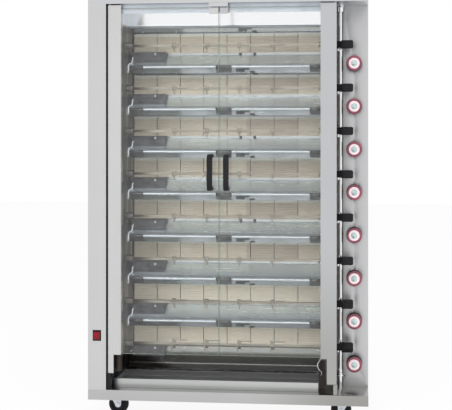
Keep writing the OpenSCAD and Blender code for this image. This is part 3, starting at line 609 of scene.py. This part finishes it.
# %% Soften the plastic and the folded parts
def softened(name, width):
    """Replaces a node by a copy of it with rounded edges."""
    bm = bmesh.new()
    bm.from_mesh(nodes[name].data)
    bmesh.ops.remove_doubles(bm, verts=bm.verts, dist=0.00002)
    bmesh.ops.dissolve_limit(bm, angle_limit=math.radians(0.4), verts=bm.verts, edges=bm.edges)
    sharp = [e for e in bm.edges if len(e.link_faces) == 2 and e.calc_face_angle(0.0) > math.radians(38.0)]
    bmesh.ops.bevel(bm, geom=sharp, offset=width, segments=2, profile=0.6, affect="EDGES",
                    clamp_overlap=True)
    for face in bm.faces:
        face.smooth = True
    stand_in(piece_from(bm, name + "_soft", [wear[name]], 32.0), name)


for name, width in {
        "door_handle_left": 0.006, "door_handle_right": 0.006, "door_stile_left": 0.0008,
        "door_stile_right": 0.0008, "rocker_switch": 0.0008, "caster_fork_left": 0.0006,
        "caster_fork_right": 0.0006, "drip_tray": 0.0005, "left_column": 0.0005, "base_frame": 0.0006,
        "header": 0.0006, "control_panel": 0.0005}.items():
    softened(name, width)
for k in ROWS:
    softened(f"grip_{k}", 0.0012)

# %% [markdown]
# ## Gas knobs
# Each knob is a black fluted body with a crimson ring round a pale dial, and a grey hub in
# the middle with one dark pointer. It is turned about its own axis, so its mesh is spun
# from a profile: rings of points at a radius and a height. The flutes are a ripple in the
# radius, which is easier to space evenly in code than to model by hand.

# %% Finishes of the dial
dial_white = finish(
    "dial_white", (0.84, 0.66, 0.7), (0.93, 0.82, 0.84), (0.25, 0.35), 0.0, 300.0, 40.0, bump=0.05, coat=0.3)
dial_grey = finish(
    "dial_grey", (0.24, 0.32, 0.32), (0.66, 0.78, 0.76), (0.2, 0.3), 0.0, 160.0, 40.0, bump=0.05, coat=0.4)
print("dial finishes made")


# %% Spin the knobs
def bridged(bm, loops):
    """Joins each loop of vertices to the next by a ring of faces, and gives the rings."""
    after = [*range(1, len(loops[0])), 0]
    return [[bm.faces.new((near[i], near[j], far[j], far[i])) for i, j in enumerate(after)]
            for near, far in zip(loops, loops[1:])]


def spun(rings, centre, around=64, flutes=24):
    """A closed shape spun about -Y. rings holds (radius, height, finish index, flute depth)."""
    bm = bmesh.new()
    loops = []
    for radius, height, _, flute in rings:
        loop = []
        for i in range(around):
            angle = 2.0 * math.pi * i / around
            r = radius - flute * (0.5 - 0.5 * math.cos(flutes * angle))
            loop.append(bm.verts.new((centre[0] + r * math.cos(angle), centre[1] - height,
                                      centre[2] + r * math.sin(angle))))
        loops.append(loop)
    for ring, faces in zip(rings[1:], bridged(bm, loops)):
        for face in faces:
            face.material_index = ring[2]
            face.smooth = True
    bm.faces.new(loops[0]).material_index = rings[0][2]
    bm.faces.new(list(reversed(loops[-1]))).material_index = rings[-1][2]
    bmesh.ops.recalc_face_normals(bm, faces=bm.faces)
    return bm


knob_low, knob_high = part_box("knob_1")
knob_r = (knob_high.x - knob_low.x) / 2
knob_out = knob_high.y - knob_low.y
# Shares of the radius, heights from the panel or depths under the face, finishes and flutes
foot = [(0.8, 0.0005, 0, 0), (0.985, 0.0005, 0, 0), (1.0, 0.002, 0, 0), (1.0, 0.0055, 0, 0),
        (0.95, 0.0075, 0, 0), (0.93, 0.011, 0, 0.0012)]
face_rings = [
    (0.93, 0.01, 0, 0.0012), (0.97, 0.008, 0, 0), (0.98, 0.0075, 1, 0), (0.99, 0.004, 1, 0),
    (0.95, 0.001, 1, 0), (0.85, 0.0002, 1, 0), (0.72, 0.001, 1, 0), (0.68, 0.003, 1, 0),
    (0.66, 0.0035, 2, 0), (0.4, 0.003, 2, 0), (0.37, 0.003, 3, 0), (0.36, 0.0014, 3, 0),
    (0.32, 0.0008, 3, 0), (0.1, 0.0006, 3, 0)]
rings = [(knob_r * share, height, index, flute) for share, height, index, flute in foot]
rings += [(knob_r * share, knob_out - depth, index, flute) for share, depth, index, flute in face_rings]
for k in ROWS:
    low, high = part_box(f"knob_{k}")
    centre = ((low.x + high.x) / 2, high.y, (low.z + high.z) / 2)
    bm = spun(rings, centre)
    # The pointer: a small bar low on the hub
    pointer = bmesh.ops.create_cube(bm, size=1.0)["verts"]
    bmesh.ops.scale(bm, verts=pointer, vec=(0.0026, 0.0016, 0.006))
    bmesh.ops.rotate(bm, verts=pointer, cent=(0, 0, 0), matrix=Matrix.Rotation(math.radians(-38.0), 3, "Y"))
    bmesh.ops.translate(bm, verts=pointer, vec=Vector(centre) + Vector((-0.004, 0.0008 - knob_out, -0.006)))
    dial = piece_from(bm, f"gas_dial_{k}", [black, crimson, dial_white, dial_grey], 40.0)
    stand_in(dial, f"knob_{k}")
print("knobs:", len(ROWS), "of radius", round(knob_r, 4))

# %% [markdown]
# ## Screws, in one Geometry Nodes tree
# Rows of small screws hold the burner flanges, the panels and the liner. Each row is the
# same screw again and again, which is what Geometry Nodes are for: a grid gives the points
# and one screw is placed on each. The tree ends in real geometry with its finish, and the
# result is turned into a plain mesh.


# %% Helpers that begin, build and end a tree
def new_tree(title, *inputs):
    """A Geometry Nodes tree, which is also given its turn, its place and its finish."""
    own = [(VEC, "Turn", "Place"), ("NodeSocketMaterial", "Finish")]
    return new_group(title, [*inputs, *own], [("NodeSocketGeometry", "Shape")], "GeometryNodeTree")


def moved(tree, shape, turn=None, place=None):
    """A shape turned and moved by sockets."""
    sockets = {"Geometry": shape, "Rotation": turn, "Translation": place}
    return out(tree, "Transform", linked={label: socket for label, socket in sockets.items() if socket})


def together(tree, *shapes):
    """Several shapes as one."""
    join = add(tree, "JoinGeometry")
    for shape in shapes:
        tree.links.new(shape, join.inputs[0])
    return join.outputs[0]


def repeated(tree, points, shape, **more):
    """A shape on each point, as real geometry."""
    put = out(tree, "InstanceOnPoints", linked={"Points": points, "Instance": shape, **more})
    return out(tree, "RealizeInstances", linked={"Geometry": put})


def painted(tree, shape):
    """Ends a tree: the shape gets its finish."""
    give(tree, 0, out(tree, "SetMaterial", linked={"Geometry": shape, "Material": "Finish"}))
    print(tree.name, "tree:", len(tree.nodes), "nodes")


print("tree helpers ready")

# %% Build the screw tree
screws = new_tree("screw_grid", (NUM, "Width", "Height", "Head"), (INT, "Columns", "Rows"))
grid = out(screws, "MeshGrid", linked={
    "Size X": "Width", "Size Y": "Height", "Vertices X": "Columns", "Vertices Y": "Rows"})
head = out(screws, "MeshCone", {"Vertices": 20}, {
    "Radius Top": math_node(screws, "MULTIPLY", "Head", 0.62), "Radius Bottom": "Head",
    "Depth": math_node(screws, "MULTIPLY", "Head", 0.55)})
painted(screws, moved(screws, repeated(screws, grid, head), "Turn", "Place"))


# %% Helpers that run a tree into a plain mesh, and join meshes
def as_mesh(ob):
    """The shape that an object's modifiers or curve make, as a plain mesh. The object goes."""
    mesh = bpy.data.meshes.new_from_object(ob.evaluated_get(bpy.context.evaluated_depsgraph_get()))
    ob.modifiers.clear()
    bpy.data.objects.remove(ob)
    return mesh


def grown(name, tree, mats, values):
    """Runs a Geometry Nodes tree on an empty mesh and keeps the result as a plain mesh."""
    ob = new_piece(name + "_seed", bpy.data.meshes.new(name + "_seed"), [])
    modifier = ob.modifiers.new("grow", "NODES")
    modifier.node_group = tree
    idents = {item.name: item.identifier for item in tree.interface.items_tree if item.in_out == "INPUT"}
    for label, value in values.items():
        modifier[idents[label]] = value
    bpy.context.view_layer.update()
    baked = as_mesh(ob)
    baked.name = name
    baked.materials.clear()
    return new_piece(name, baked, mats)


def joined(name, pieces, mats):
    """Joins plain pieces into one mesh object."""
    bm = bmesh.new()
    for piece in pieces:
        bm.from_mesh(piece.data)
        bpy.data.objects.remove(piece)
    return piece_from(bm, name, mats)


def screw_rows(name, size, count, head, place, mat, facing=-1):
    """A field of screws: its width and height, columns and rows, head radius and middle."""
    return grown(name, screws, [mat], {
        "Width": size[0], "Height": size[1], "Columns": count[0], "Rows": count[1], "Head": head,
        "Turn": (math.radians(-90.0 * facing), 0.0, 0.0), "Place": place, "Finish": mat})


print("mesh helpers ready")

# %% Put the screws in
all_rows = 7 * pitch
flange_y = tile_y - 0.002
rows_mid = (spit_z[0] + spit_z[-1]) / 2
lower = screw_rows("lower_screws", (0.62, all_rows), (8, 8), 0.0036,
                   (mid_x + 0.06, flange_y - 0.001, rows_mid - 0.032), zinc)
upper = screw_rows("upper_screws", (0.7, all_rows), (6, 8), 0.0028,
                   (mid_x, flange_y - 0.0088, rows_mid + 0.067), zinc)
bolts = screw_rows("guard_bolts", (0.001, all_rows), (1, 8), 0.0062,
                   (burner_low.x + 0.104, flange_y - 0.0805, rows_mid - 0.029), zinc)
settle(joined("burner_screws", [lower, upper, bolts], [zinc]), "cabinet", "zinc_plate")
pairs = screw_rows("dark_screws", (0.058, 4 * pitch), (2, 3), 0.006,
                   (0.059, flange_y - 0.001, spit_z[2] - 0.0255), scorched)
settle(pairs, "cabinet", "scorched_steel")
back_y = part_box("outer_panels")[1].y
back_screws = screw_rows("back_screws", (1.06, 1.48), (8, 9), 0.0045,
                         (0.0, back_y + 0.001, (base_z + head_z) / 2), zinc, facing=1)
settle(back_screws, "cabinet", "zinc_plate")
print("screws on the burners and the back")

# %% [markdown]
# ## Clips on the deflectors
# Dark clips grip the rolled nose of each drip deflector near its ends and its middle. Each
# is a strip bent round the nose, with a flat tongue that lies down the drip edge below it.
# The tree sweeps a small rectangle along an arc, adds the tongue, and a line of points
# repeats both at the pitch of the spits.

# %% Build the clip tree
clips = new_tree("nose_clips", (NUM, "Radius", "Width", "Sheet", "Tongue"), (INT, "Count"),
                 (VEC, "Step", "Lean", "Seat"))
arc = {"Resolution": 14, "Start Angle": math.radians(40.0), "Sweep Angle": math.radians(250.0)}
bend = out(clips, "CurveArc", arc, {"Radius": "Radius"})
strip = out(clips, "CurvePrimitiveQuadrilateral", linked={"Width": "Sheet", "Height": "Width"})
sweep = out(clips, "CurveToMesh", {"Fill Caps": True}, {"Curve": bend, "Profile Curve": strip})
size = out(clips, "CombineXYZ", linked={"X": "Sheet", "Y": "Tongue", "Z": "Width"})
leaning = moved(clips, out(clips, "MeshCube", linked={"Size": size}), "Lean", "Seat")
standing = moved(clips, together(clips, leaning, sweep), "Turn")
spots = out(clips, "MeshLine", linked={"Count": "Count", "Start Location": "Place", "Offset": "Step"})
painted(clips, repeated(clips, spots, standing))

# %% Put the clips on
clip_steel = finish(
    "clip_steel", (0.07, 0.073, 0.076), (0.22, 0.225, 0.225), (0.35, 0.55), 0.8, (60.0, 200.0, 200.0), 30.0,
    2.4, bump=0.2)
TO_ACROSS = (math.radians(90.0), 0.0, math.radians(90.0))
edge_lean = math.atan2(13.0, 19.0)
bands = []
for n, (x0, x1) in enumerate(((0.004, 0.064), (0.361, 0.424), (0.738, 0.781))):
    bands.append(grown(f"clip_run_{n}", clips, [], {
        "Radius": 0.0064, "Width": x1 - x0, "Sheet": 0.0012, "Count": 7, "Step": (0.0, 0.0, -pitch),
        "Turn": TO_ACROSS, "Tongue": 0.02, "Lean": (0.0, 0.0, edge_lean), "Seat": (0.0061, -0.0137, 0.0),
        "Place": (cavity_x0 + (x0 + x1) / 2, nose_y, spit_z[0] - 0.084), "Finish": clip_steel}))
settle(joined("deflector_clips", bands, [clip_steel]), "cabinet", "scorched_steel")
print("clips:", 3 * 7)

# %% [markdown]
# ## Leads to the pilots
# By each burner's left end a pale insulated lead comes out of the guard, bends round the
# nose of the deflector and runs into the wall; the lowest goes there straight from its guard.
# It is a tube swept along a few points, which a curve with a round bevel makes directly.


# %% Sweep the leads
def tube(points, radius):
    """A plain mesh swept along a smooth curve through the points."""
    curve = bpy.data.curves.new("tube", "CURVE")
    curve.dimensions = "3D"
    curve.bevel_depth = radius
    curve.bevel_resolution = 4
    curve.resolution_u = 8
    curve.use_fill_caps = True
    line = curve.splines.new("BEZIER")
    line.bezier_points.add(len(points) - 1)
    for spot, point in zip(line.bezier_points, points):
        spot.co = point
        spot.handle_left_type = spot.handle_right_type = "AUTO"
    return new_piece("tube", as_mesh(shown("tube", curve)), [])


lead_white = finish(
    "lead_white", (0.8, 0.8, 0.84), (0.92, 0.92, 0.95), (0.4, 0.55), 0.0, 300.0, 60.0, bump=0.2)
wall_x = cavity_x0 + 0.0045
leads = []
for z in spit_z:
    route = [(wall_x + 0.012, nose_y + 0.042, z - 0.04)]
    if z > spit_z[-1]:
        route += [(wall_x + 0.009, nose_y + 0.029, z - 0.047), (wall_x + 0.008, nose_y + 0.028, z - 0.061),
                  (wall_x, nose_y + 0.002, z - 0.071), (wall_x, nose_y - 0.0108, z - 0.081),
                  (wall_x, nose_y - 0.0106, z - 0.094)]
    route.append((wall_x - 0.0035, route[-1][1] + 0.0086, route[-1][2] - 0.01))
    leads.append(tube(route, 0.0031))
settle(joined("pilot_leads", leads, [lead_white]), "cabinet", "zinc_plate")
print("leads:", len(spit_z))

# %% [markdown]
# ## Ceramic plates
# An infrared burner's face is a row of pressed ceramic plates with a rounded rim, low
# level ridges and hundreds of small holes. The holes are smaller than a pixel, so they
# stay in the material. The plates and ridges are real geometry, made by one tree: a line
# of ridges joins a block, and a grid places that plate sixty-four times.

# %% Build the plate tree
plates = new_tree(
    "plate_field", (VEC, "Plate Size", "Ridge Start"), (INT, "Ridges", "Columns", "Rows"),
    (NUM, "Ridge Radius", "Ridge Step", "Ridge Length", "Field Width", "Field Height"))
block = out(plates, "MeshCube", linked={"Size": "Plate Size"})
step = out(plates, "CombineXYZ", linked={"Z": "Ridge Step"})
ladder = out(plates, "MeshLine", linked={"Count": "Ridges", "Start Location": "Ridge Start", "Offset": step})
ridge = out(plates, "MeshCylinder", {"Vertices": 10}, {"Radius": "Ridge Radius", "Depth": "Ridge Length"})
lying = out(plates, "Transform", {"Rotation": (0.0, math.radians(90.0), 0.0)}, {"Geometry": ridge})
rungs = out(plates, "InstanceOnPoints", linked={"Points": ladder, "Instance": lying})
field = out(plates, "MeshGrid", linked={
    "Size X": "Field Width", "Size Y": "Field Height", "Vertices X": "Columns", "Vertices Y": "Rows"})
upright = moved(plates, field, "Turn", "Place")
painted(plates, repeated(plates, upright, together(plates, block, rungs)))

# %% Grow the plates
plate_pitch = (burner_high.x - burner_low.x) / 8
plate_w = plate_pitch - 0.003
plate_h = tile_high.z - tile_low.z - all_rows
plate_d = tile_high.y - tile_low.y - 0.001
tile_mid = (tile_low + tile_high) / 2
plate_field = grown("ceramic_plates", plates, [ceramic], {
    "Plate Size": (plate_w, plate_d, plate_h), "Columns": 8, "Rows": 8, "Field Width": 7 * plate_pitch,
    "Field Height": all_rows, "Ridges": 7, "Ridge Radius": 0.0014, "Ridge Step": plate_h / 8.0,
    "Ridge Length": plate_w - 0.006, "Ridge Start": (0.0, -plate_d / 2, -plate_h * 3.0 / 8.0),
    "Turn": (math.radians(90.0), 0.0, 0.0), "Place": (tile_mid.x, tile_mid.y + 0.0005, tile_mid.z),
    "Finish": ceramic})
settle(plate_field, "cabinet", "ceramic_plate", "ceramic_tiles")
print("plates:", len(plate_field.data.polygons), "faces")

# %% [markdown]
# ## The doors' panes
# A pane's edge is ground and looks green, because light runs along the inside of the
# glass. The pane's narrow faces get a second, greener finish, and its edges a small bevel.

# %% Panes with green edges
edge_glass, tree, rim = new_material("glass_edge")
fill(rim, {"Roughness": 0.12, "Coat Weight": 0.5})
ground = link_value(edge_glass, blotches, {"Scale": 60.0, "Contrast": 2.0})["Mask"]
greens = {"A": (0.09, 0.13, 0.105, 1.0), "B": (0.26, 0.32, 0.27, 1.0)}
tree.links.new(out(tree, "Mix", greens, {"Factor": ground}, data_type="RGBA"), rim.inputs["Base Color"])
for side in ("left", "right"):
    name = f"door_glass_{side}"
    low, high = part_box(name)
    bm = bmesh.new()
    bmesh.ops.create_cube(bm, size=1.0)
    bmesh.ops.scale(bm, verts=bm.verts, vec=high - low)
    bmesh.ops.translate(bm, verts=bm.verts, vec=(low + high) / 2)
    bmesh.ops.bevel(bm, geom=bm.edges[:], offset=0.0017, segments=2, profile=0.5, affect="EDGES",
                    clamp_overlap=True)
    bm.normal_update()
    for face in bm.faces:
        face.material_index = 0 if abs(face.normal.y) > 0.999 else 1
    stand_in(piece_from(bm, name + "_pane", [glass, edge_glass]), name)
print("panes: 2")

# %% [markdown]
# ## Fittings of the upright rod
# The rod is held by a domed nut under the header and stands in a collar on the base, with
# a small dark screw on each side. All are spun from profiles about upright axes.


# %% Spin the fittings
def turned(profile, x, y, around=32):
    """A closed shape turned about +Z from (radius, z) points, from the bottom up."""
    bm = bmesh.new()
    angles = [2 * math.pi * i / around for i in range(around)]
    loops = [[bm.verts.new((x + r * math.cos(a), y + r * math.sin(a), z)) for a in angles]
             for r, z in profile]
    for ring in bridged(bm, loops):
        for face in ring:
            face.smooth = True
    bm.faces.new(list(reversed(loops[0])))
    bm.faces.new(loops[-1])
    bmesh.ops.recalc_face_normals(bm, faces=bm.faces)
    return piece_from(bm, "turned", [], 40.0)


rod_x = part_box("control_panel")[0].x - 0.01
rod_y = front_y + 0.142
collar = [(0.0115, 0.0002), (0.0115, 0.004), (0.01, 0.006), (0.0085, 0.012), (0.0074, 0.013)]
dome = [(0.0074, -0.03), (0.0105, -0.028), (0.012, -0.022), (0.012, -0.01), (0.015, -0.007),
        (0.015, -0.0002)]
pin = [(0.0028, 0.0002), (0.0028, 0.002), (0.0016, 0.003)]
ends = [turned([(r, base_z + z) for r, z in collar], rod_x, rod_y),
        turned([(r, head_z + z) for r, z in dome], rod_x, rod_y)]
settle(joined("rod_fittings", ends, [rod_chrome]), "cabinet", "polished_rod")
pins = [turned([(r, base_z + z) for r, z in pin], rod_x + side * 0.0165, rod_y - 0.004, 16)
        for side in (-1, 1)]
settle(joined("collar_screws", pins, [scorched]), "cabinet", "scorched_steel")
print("rod fittings made")

# %% [markdown]
# ## Upper reflector
# Over the top burner a polished sheet leans forwards a little and throws the heat down.
# Because it leans, it mirrors the bright studio and not the dark lip above the doors, and
# so it is the brightest thing in the cavity. Its profile is a slight hollow with a rolled
# bottom edge, drawn as points and carried along the width as a thin closed sheet.


# %% Carry a profile along the width
def sheet_along_x(name, profile, x0, x1, thick, mat):
    """A closed sheet from (y, z) points, thick towards +Y, between x0 and x1."""
    bm = bmesh.new()
    outline = [*profile, *((y + thick, z) for y, z in reversed(profile))]
    loops = [[bm.verts.new((x, y, z)) for y, z in outline] for x in (x0, x1)]
    for face in bridged(bm, loops)[0]:
        face.smooth = True
    bm.faces.new(loops[0])
    bm.faces.new(list(reversed(loops[1])))
    bmesh.ops.recalc_face_normals(bm, faces=bm.faces)
    return piece_from(bm, name, [mat], 40.0)


mirror = finish(
    "mirror_sheet", (0.94, 0.95, 0.97), (0.98, 0.985, 1.0), (0.08, 0.16), 1.0, (3.0, 40.0, 40.0), 3.0,
    bump=0.01)
foot_z = spit_z[0] + 0.0845
rise = head_z - 0.0015 - foot_z
profile = [(tile_y - 0.004, foot_z), (tile_y - 0.006, foot_z + 0.001), (tile_y - 0.006, foot_z + 0.004)]
profile += [(tile_y - 0.0055 - 0.011 * (t / 10.0) ** 1.15, foot_z + 0.006 + (rise - 0.006) * t / 10.0)
            for t in range(11)]
settle(sheet_along_x("upper_reflector", profile, cavity_x0 + 0.0005, cavity_x1 - 0.0005, 0.0012, mirror),
       "cabinet", "liner_steel")
print("reflector height:", round(rise, 4))

# %% [markdown]
# ## Black faces low on the left column, the tray's inside and the bracket beside it
# Some faces of the left column, by the base, are black. Right of the tray a dark
# folded bracket carries a springy bright wire, bent like an S. The black faces and the inside
# of the tray are regions of softened copies, so their faces only change finish, and the wire
# is a swept curve.


# %% Repaint the regions and bend the wire
def repaint(piece, mat, low, high):
    """Gives the faces whose middle lies between two corners another finish."""
    mesh = piece.data
    mesh.materials.append(mat)
    for face in mesh.polygons:
        if all(a <= c <= b for a, c, b in zip(low, face.center, high)):
            face.material_index = len(mesh.materials) - 1


stile_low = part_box("door_stile_left")[0]
repaint(bpy.data.objects["left_column_soft"], black,
        (stile_low.x - 0.0055, front_y - 0.1, base_z - 0.06), (0.0, 0.0, base_z + 0.066))
pan = bpy.data.objects["drip_tray_soft"]
repaint(pan, tray_inside, (tray_low.x - 1.0, tray_low.y + 0.0055, tray_low.z + 0.0007),
        (tray_high.x - 0.0002, tray_high.y - 0.0002, tray_high.z - 0.0001))
repaint(pan, tray_inside, (tray_low.x - 1.0, tray_high.y - 0.03, tray_high.z - 0.004),
        (tray_high.x + 1.0, tray_high.y + 0.001, tray_high.z + 0.001))
wire = [(cavity_x1 - 0.01 + x, front_y + 0.0485, base_z + z) for x, z in (
    (-0.006, 0.118), (0.008, 0.112), (0.013, 0.094), (0.006, 0.076), (-0.003, 0.06), (0.002, 0.042),
    (0.012, 0.03), (0.01, 0.016))]
settle(joined("bracket_wire", [tube(wire, 0.0018)], [rod_chrome]), "cabinet", "polished_rod")
print("block, tray and wire made")

# %% [markdown]
# ## Frame of the power switch
# A rocker switch snaps into the sheet by a thin black frame that covers the cut edge. The
# frame is a ring: four corners joined by a loop of faces, outside and inside.


# %% Build the frame
def ring_frame(name, centre, outer, inner, depth, mat):
    """A rectangular ring about centre, standing out towards -Y by depth."""
    bm = bmesh.new()
    loops = []
    for (w, h), y in ((outer, 0.0), (outer, -depth * 0.55), ((outer[0] - 0.0014, outer[1] - 0.0014), -depth),
                      ((inner[0] + 0.001, inner[1] + 0.001), -depth), (inner, -depth * 0.6), (inner, 0.0)):
        loops.append([bm.verts.new((centre[0] + sx * w / 2, centre[1] + y, centre[2] + sz * h / 2))
                      for sx, sz in ((-1, -1), (1, -1), (1, 1), (-1, 1))])
    bridged(bm, [*loops, loops[0]])
    bmesh.ops.recalc_face_normals(bm, faces=bm.faces)
    return piece_from(bm, name, [mat])


switch_low, switch_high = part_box("rocker_switch")
wide, tall = switch_high.x - switch_low.x, switch_high.z - switch_low.z
middle = ((switch_low.x + switch_high.x) / 2, front_y - 0.0001, (switch_low.z + switch_high.z) / 2)
outer, inner = (wide + 0.0095, tall + 0.014), (wide + 0.0024, tall + 0.0055)
settle(ring_frame("switch_frame", middle, outer, inner, 0.0012, black), "cabinet", "black_plastic")
print("switch frame:", round(outer[0], 4), "m wide")

# %% [markdown]
# ## Drive chain
# Behind the left wall a roller chain turns all eight spits. A chain is the same two links
# again and again along a path, so its tree resamples a rounded loop to evenly spaced points
# and puts a link on each, turned along the path. Every second link is the wider, outer one.

# %% Build the chain tree
links = new_tree("roller_chain", (NUM, "Loop Width", "Loop Height", "Corner"), (INT, "Count"),
                 (VEC, "Plate", "Gap"))
path = out(links, "CurvePrimitiveQuadrilateral", linked={"Width": "Loop Width", "Height": "Loop Height"})
fillet = out(links, "FilletCurve", {"Count": 16}, {"Curve": path, "Radius": "Corner"}, mode="POLY")
stops = add(links, "CurveToPoints", linked={"Curve": fillet, "Count": "Count"}).outputs
plate = out(links, "MeshCube", linked={"Size": "Plate"})
shifts = [out(links, "VectorMath", {"Scale": sign}, {0: "Gap"}, operation="SCALE") for sign in (1.0, -1.0)]
sides = [moved(links, plate, place=shift) for shift in shifts]
roller = out(links, "MeshCylinder", {"Vertices": 8, "Radius": 0.0027, "Depth": 0.0052})
second = ("MODULO", out(links, "InputIndex"), 2.0)
wider = math_node(links, "MULTIPLY_ADD", second, 0.28, 1.0)
size = out(links, "CombineXYZ", {"X": 1.0, "Y": 1.0}, {"Z": wider})
flat = out(links, "AlignEulerToVector", linked={"Vector": stops["Tangent"]}, axis="X", pivot_axis="Z")
loop = repeated(links, stops["Points"], together(links, *sides, roller), Rotation=flat, Scale=size)
painted(links, moved(links, loop, "Turn", "Place"))

# %% Run the chain round its path
chain_low, chain_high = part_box("drive_chain")
inset, bend_r, link_pitch = 0.003, 0.0372, 0.0127
across, tall = chain_high.y - chain_low.y - 2 * inset, chain_high.z - chain_low.z - 2 * inset
length = 2 * (across + tall) - 8 * bend_r + 2 * math.pi * bend_r
count = 2 * round(length / link_pitch / 2)
chain = grown("roller_chain", links, [chain_steel], {
    "Loop Width": across, "Loop Height": tall, "Corner": bend_r, "Count": count + 1,
    "Plate": (0.0148, 0.0056, 0.0007), "Gap": (0.0, 0.0, 0.0027), "Turn": TO_ACROSS,
    "Place": tuple((chain_low + chain_high) / 2), "Finish": chain_steel})
stand_in(chain, "drive_chain")
print("chain:", count, "links on", round(length, 3), "m")
